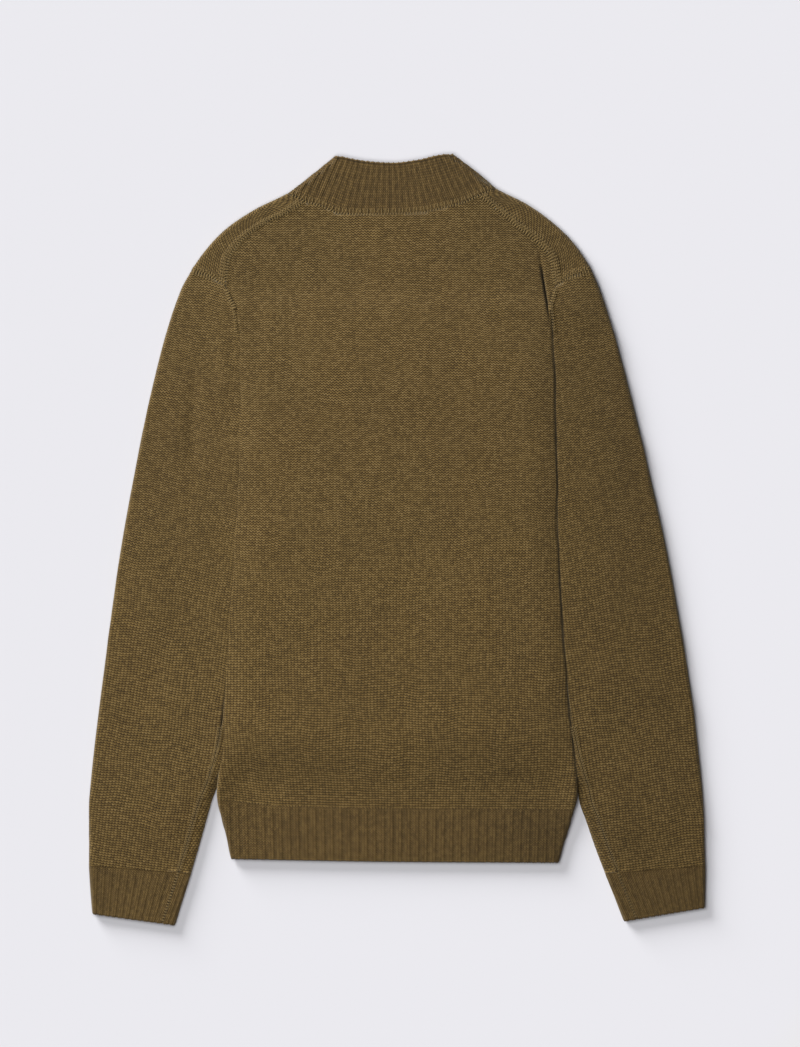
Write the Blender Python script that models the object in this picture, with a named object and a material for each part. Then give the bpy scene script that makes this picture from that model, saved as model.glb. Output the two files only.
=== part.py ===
"""Knit cardigan with a ribbed stand collar, laid flat on its fronts with its back up.

+Y points to the collar, +Z up, and the garment rests on z = 0. All sizes are millimetres, measured from the
middle line and from near the middle of the length, and become metres when a mesh is made. Left and right are
the wearer's: left is at -X. Each half is worked out with "out", the distance from the middle line, and is
mirrored by its side's sign.

Every piece is a wall around a middle surface. A middle surface is a grid of points: rows run across the body
or round the sleeve, and columns run along it.
"""
from collections import namedtuple
import math

import bmesh
import bpy
import numpy as np

MM = 0.001
SIDES = {"left": -1.0, "right": 1.0}

MIDDLE_Y = 1.19  # middle of the whole length, which goes to the origin

# Cloth
WALL = 2.2
RIB_WALL = 2.6
SEAM_GAP = 0.3
SEAM_SHIFT = 0.24  # sideways, on a seam that runs at a slant
FLAT_HEIGHT = 8.0  # two walls and the air between them
CUFF_HEIGHT = 7.6

# Body
BAND_WIDTH = 16.0
BODY_RISE = 40.0  # width over which the back climbs onto the sleeve
STEP_DOWN = 22.0  # width over which the underside comes down from the sleeve
SLEEVE_SLOPE = 24.0  # width over which the sleeve is pressed down beside the body
UNDERARM_Y = 61.5
UNDERARM_BLEND = 20.0
UNDERARM_SEAM_INSET = 9.0
ARMHOLE_Y = 254.5
HEM_FADE_Y = -150.0
FRONT_NECK_Y = 266.5
COLLAR_WIDTH = 50.0
COLLAR_CORNER_INWARD = np.array([-1.0, -0.25])

# Outline from the collar's corner down to the cuff, seen from above
Rim = namedtuple("Rim", "place left_out left_y right_out right_y")
OUTLINE = (
    Rim("collar corner", 61.0, 385.0, 55.0, 388.5),
    Rim("collar side", 86.5, 365.5, 81.0, 365.5),
    Rim("neck", 109.5, 347.5, 99.0, 352.5),
    Rim("shoulder", 144.0, 331.5, 131.0, 336.5),
    Rim("shoulder", 173.0, 311.5, 159.0, 316.5),
    Rim("shoulder", 192.0, 291.5, 179.0, 296.0),
    Rim("cap seam", 207.0, 270.0, 195.5, 270.0),
    Rim("upper arm", 217.0, 251.5, 203.5, 251.5),
    Rim("upper arm", 239.0, 181.5, 225.0, 181.5),
    Rim("upper arm", 261.0, 81.5, 250.0, 81.5),
    Rim("elbow", 282.0, -38.5, 276.0, -38.5),
    Rim("forearm", 298.0, -158.5, 296.0, -158.5),
    Rim("forearm", 308.0, -246.0, 306.0, -246.0),
    Rim("cuff top", 309.5, -326.0, 309.5, -326.0),
    Rim("cuff end", 306.0, -373.5, 309.0, -368.5),
)
NECK_RIM = 2
CAP_RIM = 6

# Side folds of the body: where the back turns under, how high the fold stands and how far round it is rolled
Fold = namedtuple("Fold", "y left right base height roll")
BODY_FOLDS = (
    Fold(254.5, 172.0, 159.0, 1.4, 6.6, 0.0),
    Fold(247.5, 169.1, 156.8, 2.4, 6.6, 40.0),
    Fold(240.5, 166.0, 154.6, 3.9, 6.6, 90.0),
    Fold(233.5, 163.0, 153.1, 5.1, 6.6, 140.0),
    Fold(223.5, 161.3, 153.8, 5.5, 6.6, 180.0),
    Fold(204.0, 159.3, 155.5, 5.5, 6.6, 180.0),
    Fold(170.0, 159.0, 157.2, 5.5, 6.6, 180.0),
    Fold(100.0, 159.2, 158.5, 5.5, 6.6, 180.0),
    Fold(-158.0, 174.0, 172.0, 5.5, 6.6, 180.0),
    Fold(-200.0, 175.3, 175.5, 5.5, 6.6, 180.0),
    Fold(-236.0, 179.5, 180.5, 5.5, 6.6, 180.0),
    Fold(-254.0, 181.0, 181.2, 4.4, 7.0, 180.0),
    Fold(-279.0, 176.0, 175.0, 1.4, 7.6, 180.0),
    Fold(-300.0, 171.0, 168.7, 0.2, 7.8, 180.0),
    Fold(-323.0, 166.0, 162.0, 0.0, 7.8, 180.0),
)

# Side seams, on the underside
Seam = namedtuple("Seam", "y left right")
SIDE_SEAMS = (
    Seam(61.5, 144.0, 143.5),
    Seam(0.0, 137.0, 136.0),
    Seam(-158.0, 145.0, 143.0),
    Seam(-254.0, 151.0, 151.0),
    Seam(-323.0, 137.0, 133.0),
)

# Sleeve rows: the armhole edge, then the inner fold; slant is how much higher the row's outer end lies
Row = namedtuple("Row", "y left right slant height")
SLEEVE_ROWS = (
    Row(254.5, 172.0, 159.0, 15.5, 8.0),
    Row(247.5, 169.7, 157.4, 15.5, 6.8),
    Row(240.5, 166.6, 155.2, 14.5, 5.7),
    Row(233.5, 161.5, 151.7, 13.5, 5.2),
    Row(223.5, 157.5, 150.0, 11.5, 5.2),
    Row(206.5, 152.5, 148.0, 9.5, 5.2),
    Row(171.5, 148.0, 146.0, 7.5, 5.2),
    Row(121.5, 146.0, 145.0, 6.5, 5.2),
    Row(61.5, 144.0, 143.5, 6.5, 5.2),
    Row(56.0, 144.6, 144.0, 6.5, 5.2),
    Row(49.0, 145.2, 144.5, 6.5, 5.2),
    Row(41.5, 145.8, 145.0, 6.5, 5.2),
    Row(-58.5, 153.0, 151.5, 6.5, 5.2),
    Row(-158.5, 161.5, 160.0, 7.5, 5.2),
    Row(-198.5, 167.0, 167.0, 8.0, 5.2),
    Row(-238.5, 176.9, 176.9, 8.0, 5.2),
    Row(-250.5, 181.6, 180.9, 8.0, 5.2),
    Row(-262.0, 186.0, 182.8, 8.0, 6.0),
    Row(-280.0, 191.0, 189.0, 8.0, 7.0),
    Row(-312.0, 200.0, 200.0, 7.5, 7.4),
    Row(-334.0, 206.5, 208.5, 8.0, 7.6),
)
UNDERARM_ROW = 8
CuffEnd = namedtuple("CuffEnd", "out y slant")
CUFF_ENDS = {"left": CuffEnd(223.2, -386.5, 13.0), "right": CuffEnd(228.0, -382.5, 14.0)}

# Shoulder seams, on the back
Place = namedtuple("Place", "left_out left_y right_out right_y")
SHOULDER_SEAM = (
    Place(93.0, 339.5, 83.0, 345.5),
    Place(110.0, 329.0, 91.0, 339.5),
    Place(136.0, 316.5, 121.0, 314.5),
    Place(159.0, 296.5, 143.0, 297.0),
    Place(169.5, 279.5, 155.0, 279.5),
    Place(172.0, 254.5, 159.0, 254.5),
)

# Seams across the back: x is signed here, from the wearer's left to the right
Across = namedtuple("Across", "x y")
NECK_SEAM = (
    Across(-109.5, 347.5), Across(-93.0, 339.5), Across(-78.0, 335.5), Across(-57.0, 327.5),
    Across(-38.0, 326.5), Across(0.0, 327.0), Across(25.0, 328.5), Across(48.0, 333.5), Across(68.0, 338.5),
    Across(83.0, 345.5), Across(99.0, 352.5),
)
COLLAR_TOP = (
    Across(-61.0, 385.0), Across(-35.0, 381.5), Across(-5.0, 379.5), Across(23.0, 382.5), Across(55.0, 388.5),
)
HEM_TOP = (Across(-181.0, -259.5), Across(-120.0, -266.0), Across(0.0, -269.0), Across(181.0, -269.5))
HEM_END = (Across(-181.0, -319.5), Across(0.0, -322.5), Across(181.0, -323.5))
HEM_TOP_Y = -269.0

# Front neckline, on the underside, from the front edge to the shoulder
Neckline = namedtuple("Neckline", "along out y")
FRONT_NECK = (
    Neckline(0.0, 0.0, 0.0), Neckline(0.25, 0.34, 0.07), Neckline(0.5, 0.66, 0.29),
    Neckline(0.75, 0.88, 0.62), Neckline(1.0, 1.0, 1.0),
)

# Grid lines, few enough to keep the solids light
SHOULDER_STATIONS = (0.0, 0.14, 0.28, 0.42, 0.56, 0.7, 0.85, 1.0)
BODY_LEVELS = (-240.0, -222.0, -200.0, -158.0, -70.0, 15.0, 41.5, 61.5, 120.0, 180.0, 206.0, 223.5, 233.5,
               240.5, 247.5, 254.5)
NECK_STATIONS = (0.125, 0.25, 0.37, 0.5, 0.62, 0.81, 1.0)
RIB_STATIONS = (1.0, 0.66, 0.33, 0.0)
CUFF_STATIONS = (0.0, 0.35, 0.7, 1.0)
BAND_STATIONS = (0.0, 0.09, 0.3, 0.55, 0.8, 1.0)
COLLAR_STATIONS = (0.0, 0.25, 0.5, 0.75, 1.0)
RISE_STATIONS = (9.0, 18.0, 29.0, 40.0)  # distances in from the side fold, over the body's rise
LEAST_TAIL = 4.0
BACK_SPREAD = 12  # columns from the middle of the back to each seam
COLLAR_SPREAD = 20  # columns across the back of the collar
ARC_STEPS = 5
SLEEVE_TOP_STEPS = 6
SLEEVE_UNDER_STEPS = 3
INNER_STEPS = 4

COLOURS = {"panel": (0.128, 0.085, 0.033), "rib": (0.110, 0.072, 0.028)}


def column(table, name):
    return [getattr(row, name) for row in table]


def smooth_read(stations, values, at):
    """Reads a table between its rows, on a curve that never passes its neighbours."""
    x = np.asarray(stations, float)
    y = np.asarray(values, float)
    if x[0] > x[-1]:
        x, y = x[::-1], y[::-1]
    step = np.diff(x)
    slope = np.diff(y) / step
    bend = np.zeros(len(x))
    bend[0], bend[-1] = slope[0], slope[-1]
    for k in range(1, len(x) - 1):
        if slope[k - 1] * slope[k] > 0.0:
            before = 2.0 * step[k] + step[k - 1]
            after = step[k] + 2.0 * step[k - 1]
            bend[k] = (before + after) / (before / slope[k - 1] + after / slope[k])
    at = float(np.clip(at, x[0], x[-1]))
    k = int(np.clip(np.searchsorted(x, at, side="right") - 1, 0, len(x) - 2))
    t = (at - x[k]) / step[k]
    rest = 1.0 - t
    return float((1.0 + 2.0 * t) * rest * rest * y[k] + t * rest * rest * step[k] * bend[k]
                 + t * t * (3.0 - 2.0 * t) * y[k + 1] - t * t * rest * step[k] * bend[k + 1])


def ease(t):
    t = min(max(t, 0.0), 1.0)
    return t * t * (3.0 - 2.0 * t)


def unit(v):
    return v / np.linalg.norm(v)


def rim_point(side, place):
    """Outline at a table place, which may lie between two rows."""
    rows = range(len(OUTLINE))
    return np.array([smooth_read(rows, column(OUTLINE, side + "_out"), place),
                     smooth_read(rows, column(OUTLINE, side + "_y"), place)])


def rim_out(side, y):
    arm = OUTLINE[CAP_RIM:]
    return smooth_read(column(arm, side + "_y"), column(arm, side + "_out"), y)


def shoulder_seam(side, along):
    rows = np.linspace(0.0, 1.0, len(SHOULDER_SEAM))
    return np.array([smooth_read(rows, column(SHOULDER_SEAM, side + "_out"), along),
                     smooth_read(rows, column(SHOULDER_SEAM, side + "_y"), along)])


def across_y(table, x):
    return smooth_read(column(table, "x"), column(table, "y"), x)


def fold_value(name, y):
    return smooth_read(column(BODY_FOLDS, "y"), column(BODY_FOLDS, name), y)


def sleeve_edge(side, y):
    return smooth_read(column(SLEEVE_ROWS, "y"), column(SLEEVE_ROWS, side), y)


def under_seam(side, y):
    """Seam under the body's side: the armhole above the underarm, the side seam below it."""
    if y >= UNDERARM_Y:
        return sleeve_edge(side, y)
    return smooth_read(column(SIDE_SEAMS, "y"), column(SIDE_SEAMS, side), y)


def under_base(side, out, y):
    """Height of the body's underside, which comes down beside the tucked sleeve."""
    past = (sleeve_edge(side, y) - out) / STEP_DOWN
    return fold_value("base", y) * (1.0 - ease(past))


def neck_seam_y(x):
    """Seam between collar and back, with straight ends where the collar meets the fronts."""
    ends = NECK_SEAM[:2] if x < 0.0 else NECK_SEAM[-2:]
    if ends[0].x <= x <= ends[1].x:
        return ends[0].y + (x - ends[0].x) / (ends[1].x - ends[0].x) * (ends[1].y - ends[0].y)
    return across_y(NECK_SEAM, x)


def row_y(level, x):
    """Bends a level line near the hem, where the rib's top edge isn't straight."""
    share = ease((HEM_FADE_Y - level) / (HEM_FADE_Y - HEM_TOP_Y))
    return level + share * (across_y(HEM_TOP, x) - HEM_TOP_Y)


def mirrored(grid, sign):
    return [[(sign * x, y, z) for x, y, z in row] for row in grid]


# The wall of one piece

def make_material(name, kind):
    material = bpy.data.materials.new(name)
    material.use_nodes = True
    shader = material.node_tree.nodes["Principled BSDF"]
    shader.inputs["Base Color"].default_value = (*COLOURS[kind], 1.0)
    shader.inputs["Roughness"].default_value = 0.95
    shader.inputs["Metallic"].default_value = 0.0
    return material


def make_wall(name, grid, wall, kind):
    """Makes a grid of middle points into a closed wall of even thickness."""
    grid = (np.asarray(grid, float) - (0.0, MIDDLE_Y, 0.0)) * MM
    rows, columns = grid.shape[:2]
    bm = bmesh.new()
    bmesh.ops.create_grid(bm, x_segments=columns - 1, y_segments=rows - 1, size=1.0)
    for vertex in bm.verts:
        j = round((vertex.co.x + 1.0) / 2.0 * (columns - 1))
        i = round((vertex.co.y + 1.0) / 2.0 * (rows - 1))
        vertex.co = grid[i, j]
    mesh = bpy.data.meshes.new(name)
    bm.to_mesh(mesh)
    bm.free()
    mesh.shade_smooth()
    mesh.materials.append(make_material(name, kind))
    piece = bpy.data.objects.new(name, mesh)
    bpy.context.collection.objects.link(piece)
    thickness = piece.modifiers.new("wall", "SOLIDIFY")
    thickness.thickness = wall * MM
    thickness.offset = 0.0
    return piece


# Body

def body_end(side, y, wall):
    """Half section of the back from the middle, over the side fold, to the seam on the underside.

    Gives the stations, as lengths from the middle, and a function from a length to the distance out and the
    height.
    """
    height = fold_value("height", y)
    radius = (height - wall) / 2.0
    roll = math.radians(fold_value("roll", y))
    reach = radius + wall / 2.0
    upright = min(roll, math.pi / 2.0)
    turn_out = fold_value(side, y) - reach * math.sin(upright) - SEAM_GAP * math.cos(upright)
    rolled = roll > math.pi - 0.02
    tail = max(turn_out - under_seam(side, y) - SEAM_GAP / 2.0, 0.2) if rolled else 0.0
    arc = radius * roll
    top = fold_value("base", y) + height - wall / 2.0

    def point(length):
        if length <= turn_out:
            rise = ease(1.0 - (turn_out - length) / BODY_RISE)
            flat = FLAT_HEIGHT - wall / 2.0
            return length, flat + (top - flat) * rise
        if length <= turn_out + arc:
            angle = (length - turn_out) / radius
            return turn_out + radius * math.sin(angle), top - radius * (1.0 - math.cos(angle))
        out = turn_out - (length - turn_out - arc)
        return out, under_base(side, out, y) + wall / 2.0

    full = turn_out + arc + tail
    bare = max(tail, LEAST_TAIL)
    strip = min(max(sleeve_edge(side, y) - under_seam(side, y), 0.25 * bare), 0.75 * bare)
    bend = math.pi * radius
    from_end = [0.0, strip, bare]
    from_end += [bare + bend * k / ARC_STEPS for k in range(1, ARC_STEPS + 1)]
    from_end += [from_end[-1] + step for step in RISE_STATIONS]
    rolled_stations = [full - d for d in from_end] + [0.0]
    even_stations = [full * (1.0 - k / BACK_SPREAD) for k in range(BACK_SPREAD + 1)]
    share = roll / math.pi
    stations = [share * a + (1.0 - share) * b for a, b in zip(rolled_stations, even_stations)]
    return stations[::-1], point


def body_row(level, wall, shape):
    """One row of the back or its rib, from the left seam to the right; shape gives y from the signed x."""
    row = []
    for side, sign in SIDES.items():
        edge_y = shape(level, sign * fold_value(side, level))
        stations, point = body_end(side, edge_y, wall)
        half = []
        for length in stations:
            out, z = point(length)
            half.append((sign * out, shape(level, sign * out), z))
        row += half[::-1] if sign < 0.0 else half[1:]
    return row


def across_ends(along):
    """The two shoulder seams at one share of their length, from the neck at 0 to the armhole at 1."""
    return shoulder_seam("left", along) * (-1.0, 1.0), shoulder_seam("right", along)


def shoulder_row(along):
    """One row of the back between the shoulder seams, which bends down to the neck seam."""
    left, right = across_ends(along)
    neck_left, neck_right = across_ends(0.0)
    left, right = left + (SEAM_SHIFT, 0.0), right - (SEAM_SHIFT, 0.0)
    dip = ease(1.0 - along)
    row = []
    for t in np.linspace(0.0, 1.0, 2 * BACK_SPREAD + 1):
        x, y = left + t * (right - left)
        neck_x, neck_y = neck_left + t * (neck_right - neck_left)
        y += dip * (neck_seam_y(neck_x) - neck_y)
        if along == 0.0:
            y -= SEAM_GAP / 2.0
        row.append((x, y, FLAT_HEIGHT - WALL / 2.0))
    return row


def make_back():
    levels = (HEM_TOP_Y + SEAM_GAP / 2.0,) + BODY_LEVELS
    grid = [body_row(level, WALL, row_y) for level in levels]
    grid += [shoulder_row(along) for along in SHOULDER_STATIONS[-2::-1]]
    return make_wall("back", grid, WALL, "panel")


def rib_shape(share, x):
    """Height of a rib row: share is 0 at the rib's top edge and 1 at the hem."""
    top = across_y(HEM_TOP, x) - SEAM_GAP / 2.0
    return top + share * (across_y(HEM_END, x) - top)


def rib_level(share):
    return HEM_TOP_Y + share * (HEM_END[1].y - HEM_TOP_Y)


def make_hem_rib_back():
    grid = []
    for share in RIB_STATIONS:
        grid.append(body_row(rib_level(share), RIB_WALL, lambda _, x, share=share: rib_shape(share, x)))
    return make_wall("hem_rib_back", grid, RIB_WALL, "rib")


# Fronts, on the underside

def cap_ends(side):
    """Outer and inner ends of the seam between the front and the sleeve cap, seen from above."""
    first = SLEEVE_ROWS[0]
    inner = np.array([getattr(first, side), first.y])
    return rim_point(side, CAP_RIM), inner


def inward(side, along):
    """Direction in which the cloth turns in from the outline, from the neck at 0 to the cap seam at 1."""
    outer, inner = cap_ends(side)
    at_cap = unit(inner - outer)
    at_neck = unit(shoulder_seam(side, 0.0) - rim_point(side, NECK_RIM))
    place = NECK_RIM + along * (CAP_RIM - NECK_RIM)
    tangent = unit(rim_point(side, min(place + 0.05, CAP_RIM)) - rim_point(side, max(place - 0.05, NECK_RIM)))
    across = np.array([tangent[1], -tangent[0]])
    share = ease(min(along, 1.0 - along) / 0.35)
    ends = at_neck if along < 0.5 else at_cap
    return unit(share * across + (1.0 - share) * ends)


def neckline(start, end, along):
    """Curve of the front neckline between two points."""
    stations = column(FRONT_NECK, "along")
    out = smooth_read(stations, column(FRONT_NECK, "out"), along)
    y = smooth_read(stations, column(FRONT_NECK, "y"), along)
    return np.asarray(start) + np.array([out, y]) * (np.asarray(end) - start)


def front_neck(side, along):
    """Edge of the front along its neckline, from the band to the shoulder fold, clear of the collar."""
    gap = SEAM_GAP / 2.0
    end = rim_point(side, NECK_RIM) + inward(side, 0.0) * (FLAT_HEIGHT / 2.0)
    return neckline((0.0, FRONT_NECK_Y), end, along) + (gap * along, -gap * (1.0 - along))


def front_base(side, out, y):
    """Underside height of the front, which only rises below the underarm."""
    return under_base(side, out, y) * ease((UNDERARM_Y - y) / UNDERARM_BLEND)


def front_lower_rows(side):
    """Inner and outer ends of the rows that lie on the underside, from the hem up to the shoulder fold."""
    gap = SEAM_GAP / 2.0
    band_edge = BAND_WIDTH + gap
    rows = []
    for level in (HEM_TOP_Y + gap,) + tuple(y for y in BODY_LEVELS if y < UNDERARM_Y):
        edge_y = row_y(level, SIDES[side] * fold_value(side, level))
        rows.append(((band_edge, level), (under_seam(side, edge_y) - gap, level), 0.0))
    armhole = SLEEVE_ROWS[UNDERARM_ROW::-1]
    for k, row in enumerate(armhole):
        outer = (getattr(row, side) - 2.0 * gap, row.y)
        if k < 4:
            inner = (band_edge, UNDERARM_Y + k / 4.0 * (FRONT_NECK_Y - 2.0 * SEAM_GAP - UNDERARM_Y))
        else:
            inner = front_neck(side, NECK_STATIONS[k - 4])
        rows.append((inner, outer, 0.35 * ease(k / 4.0 - 1.0)))
    outer_rim, inner_rim = cap_ends(side)
    lift = np.array([-unit(inner_rim - outer_rim)[1], unit(inner_rim - outer_rim)[0]]) * -SEAM_GAP
    tangent_point = outer_rim + unit(inner_rim - outer_rim) * (FLAT_HEIGHT / 2.0)
    for t, along in zip((0.5, 1.0), NECK_STATIONS[-2:]):
        outer = inner_rim + t * (tangent_point - inner_rim) + lift
        rows.append((front_neck(side, along), outer, 0.35 + 0.65 * t))
    return rows


def shoulder_folds(side, first, last):
    """Where each column turns over the shoulder, and its direction inwards.

    The end columns go to the given points.
    """
    folds = []
    for share in SHOULDER_STATIONS:
        direction = inward(side, share)
        turn = rim_point(side, NECK_RIM + share * (CAP_RIM - NECK_RIM)) + direction * (FLAT_HEIGHT / 2.0)
        shift = {0.0: first - turn, 1.0: last - turn}.get(share, np.zeros(2))
        folds.append((share, turn + shift, direction, shift))
    return folds


def front_lower_row(side, inner, outer, bulge, folds):
    """One row on the underside, bent towards the shoulder fold by its share of bulge."""
    sign = SIDES[side]
    first, last = folds[0][1], folds[-1][1]
    row = []
    for share, turn, _, _ in folds:
        station = crowded(share) if outer[1] < UNDERARM_Y else share
        point = inner + station * (outer - inner)
        point = point + bulge * (turn - (first + share * (last - first)))
        z = front_base(side, point[0], point[1]) + WALL / 2.0
        y = row_y(point[1], sign * point[0]) if point[1] < HEM_FADE_Y else point[1]
        row.append((point[0], y, z))
    return row


def crowded(share):
    """Crowds the columns towards the side seam, where the cloth comes down from the sleeve."""
    return 1.0 - (1.0 - share) ** 1.7


def make_front(side):
    radius = (FLAT_HEIGHT - WALL) / 2.0
    lower = [(np.array(inner), np.array(outer), bulge) for inner, outer, bulge in front_lower_rows(side)]
    folds = shoulder_folds(side, lower[-1][0], lower[-1][1])
    grid = [front_lower_row(side, inner, outer, bulge, folds) for inner, outer, bulge in lower]
    for k in range(1, ARC_STEPS + 1):
        angle = math.pi * k / ARC_STEPS
        z = WALL / 2.0 + radius * (1.0 - math.cos(angle))
        grid.append([(*(turn - direction * radius * math.sin(angle)), z) for _, turn, direction, _ in folds])
    for t in (0.5, 1.0):
        row = []
        for share, turn, _, shift in folds:
            seam = shoulder_seam(side, share) + shift
            seam = seam - unit(seam - turn) * SEAM_GAP / 2.0
            row.append((*(turn + t * (seam - turn)), FLAT_HEIGHT - WALL / 2.0))
        grid.append(row)
    return make_wall("front_" + side, mirrored(grid, SIDES[side]), WALL, "panel")


def make_hem_rib_front(side):
    sign = SIDES[side]
    gap = SEAM_GAP / 2.0
    grid = []
    for share in RIB_STATIONS:
        inner, outer = BAND_WIDTH + gap, under_seam(side, rib_level(share)) - gap
        row = []
        for station in SHOULDER_STATIONS:
            out = inner + crowded(station) * (outer - inner)
            y = rib_shape(share, sign * out)
            row.append((sign * out, y, under_base(side, out, y) + RIB_WALL / 2.0))
        grid.append(row)
    return make_wall("hem_rib_front_" + side, grid, RIB_WALL, "rib")


def make_band(side):
    sign = SIDES[side]
    gap = SEAM_GAP / 2.0
    grid = []
    for share in BAND_STATIONS:
        row = []
        for out in (gap, BAND_WIDTH / 2.0, BAND_WIDTH - gap):
            bottom = across_y(HEM_END, sign * out)
            top = FRONT_NECK_Y - SEAM_GAP
            row.append((sign * out, bottom + share * (top - bottom), RIB_WALL / 2.0))
        grid.append(row)
    return make_wall("band_" + side, grid, RIB_WALL, "rib")


# Sleeves

def sleeve_row(side, y, inner_out, slant, height, wall, rim_height):
    """One ring of the sleeve, from the seam on its upper side, round the outer fold, back to the seam."""
    outer_y = y + slant
    outer = np.array([rim_out(side, outer_y), outer_y])
    inner = np.array([inner_out, y])
    width = np.linalg.norm(inner - outer)
    direction = (inner - outer) / width
    closed = ease((UNDERARM_Y - y) / UNDERARM_BLEND)
    inner_radius = (height - wall) / 2.0
    outer_radius = (rim_height - wall) / 2.0
    start = outer_radius + wall / 2.0
    end = width - (inner_radius + wall / 2.0) * closed
    tuck = max(fold_value(side, y) - inner_out, 0.0) if y < ARMHOLE_Y else 0.0
    inset = UNDERARM_SEAM_INSET * closed

    def top_height(a):
        pressed = ease((end - tuck - 1.0 - a) / SLEEVE_SLOPE)
        return height + (rim_height - height) * pressed

    under = end - start
    inner_arc = math.pi * inner_radius
    rim_arc = math.pi * outer_radius
    swept = inner_arc * closed

    def point(length):
        """Point at a length from the outer end of the underside, towards the inner edge."""
        if length <= under:
            return start + length, wall / 2.0
        if length <= under + swept:
            angle = (length - under) / inner_radius
            return end + inner_radius * math.sin(angle), wall / 2.0 + inner_radius * (1.0 - math.cos(angle))
        a = end - (length - under - swept)
        return a, top_height(a) - wall / 2.0

    seam_a = end - inset
    ring = []
    for k in range(SLEEVE_TOP_STEPS):
        t = k / SLEEVE_TOP_STEPS
        a = seam_a - SEAM_GAP / 2.0 * closed + t * (start - seam_a)
        ring.append((a, top_height(a) - wall / 2.0))
    for k in range(ARC_STEPS + 1):
        angle = math.pi * k / ARC_STEPS
        height_here = rim_height / 2.0 + outer_radius * math.cos(angle)
        ring.append((start - outer_radius * math.sin(angle), height_here))
    full = under + swept + (inset - SEAM_GAP / 2.0) * closed
    from_end = [0.0, UNDERARM_SEAM_INSET / 2.0]
    from_end += [UNDERARM_SEAM_INSET + inner_arc * k / INNER_STEPS for k in range(INNER_STEPS + 1)]
    inner_stations = [full - d for d in from_end][::-1]
    first = inner_stations[0]
    outer_stations = [first * k / SLEEVE_UNDER_STEPS for k in range(1, SLEEVE_UNDER_STEPS)]
    ring += [point(length) for length in outer_stations + inner_stations]
    plan = [outer + direction * a for a, _ in ring]
    return [(p[0], p[1], z) for p, (_, z) in zip(plan, ring)]


def make_sleeve(side):
    grid = []
    for row in SLEEVE_ROWS:
        y = row.y
        if row is SLEEVE_ROWS[-1]:
            y += SEAM_GAP / 2.0
        grid.append(sleeve_row(side, y, getattr(row, side), row.slant, row.height, WALL, FLAT_HEIGHT))
    return make_wall("sleeve_" + side, mirrored(grid, SIDES[side]), WALL, "panel")


def make_cuff(side):
    top, end = SLEEVE_ROWS[-1], CUFF_ENDS[side]
    grid = []
    for share in CUFF_STATIONS:
        y = top.y - SEAM_GAP / 2.0 + share * (end.y - top.y + SEAM_GAP / 2.0)
        out = getattr(top, side) + share * (end.out - getattr(top, side))
        slant = top.slant + share * (end.slant - top.slant)
        grid.append(sleeve_row(side, y, out, slant, CUFF_HEIGHT, RIB_WALL, CUFF_HEIGHT))
    return make_wall("cuff_" + side, mirrored(grid, SIDES[side]), RIB_WALL, "rib")


# Collar

def collar_half(side, share):
    """Underside and side fold of the collar at a share of its width, from the front edge over the fold."""
    gap = SEAM_GAP / 2.0
    radius = (FLAT_HEIGHT - RIB_WALL) / 2.0
    rim = rim_point(side, NECK_RIM * (1.0 - share))
    if share == 0.0:
        rim = rim + unit(rim_point(side, NECK_RIM - 0.3) - rim) * SEAM_GAP
    direction = unit(inward(side, 0.0) * (1.0 - share) + unit(COLLAR_CORNER_INWARD) * share)
    turn = rim + direction * (FLAT_HEIGHT / 2.0)
    front_edge = (gap, FRONT_NECK_Y + gap + share * COLLAR_WIDTH)
    half = [(*neckline(front_edge, turn, along), RIB_WALL / 2.0) for along in (0.0,) + NECK_STATIONS]
    for k in range(1, ARC_STEPS + 1):
        angle = math.pi * k / ARC_STEPS
        point = turn - direction * radius * math.sin(angle)
        half.append((*point, RIB_WALL / 2.0 + radius * (1.0 - math.cos(angle))))
    return half


def collar_back_y(share, t, x):
    """Height of a collar row across the back, t of the way from its left side to its right."""
    if share == 0.0:
        return neck_seam_y(x) + SEAM_GAP / 2.0
    base_x = NECK_SEAM[0].x + t * (NECK_SEAM[-1].x - NECK_SEAM[0].x)
    top_x = COLLAR_TOP[0].x + t * (COLLAR_TOP[-1].x - COLLAR_TOP[0].x)
    return neck_seam_y(base_x) + share * (across_y(COLLAR_TOP, top_x) - neck_seam_y(base_x))


def make_collar():
    grid = []
    for share in COLLAR_STATIONS:
        left = mirrored([collar_half("left", share)], SIDES["left"])[0]
        right = collar_half("right", share)
        across = []
        for t in np.linspace(0.0, 1.0, COLLAR_SPREAD + 1)[1:-1]:
            x = left[-1][0] + t * (right[-1][0] - left[-1][0])
            across.append((x, collar_back_y(share, t, x), FLAT_HEIGHT - RIB_WALL / 2.0))
        grid.append(left + across + right[::-1])
    return make_wall("collar", grid, RIB_WALL, "rib")


def make_cardigan():
    for old in list(bpy.data.objects):
        bpy.data.objects.remove(old)
    make_back()
    make_hem_rib_back()
    make_collar()
    for side in SIDES:
        make_front(side)
        make_hem_rib_front(side)
        make_band(side)
        make_sleeve(side)
        make_cuff(side)


make_cardigan()
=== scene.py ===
"""Looks of the knit cardigan, laid flat with its back up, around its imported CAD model.

Each piece of cloth is a skin over its CAD wall: a grid whose columns follow the wales, so that wales and
ribs are real relief, and its stitches are bump and colour. All sizes are millimetres, measured from the
middle line and from near the middle of the length, and become metres when a mesh is made. Left and right
are the wearer's: left is at -X. Each half is worked out with "out", the distance from the middle line, and
is mirrored by its side's sign.
"""

from collections import namedtuple
from functools import partial
import math

import bmesh
import bpy
from mathutils import Matrix, Vector
import numpy as np


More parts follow.
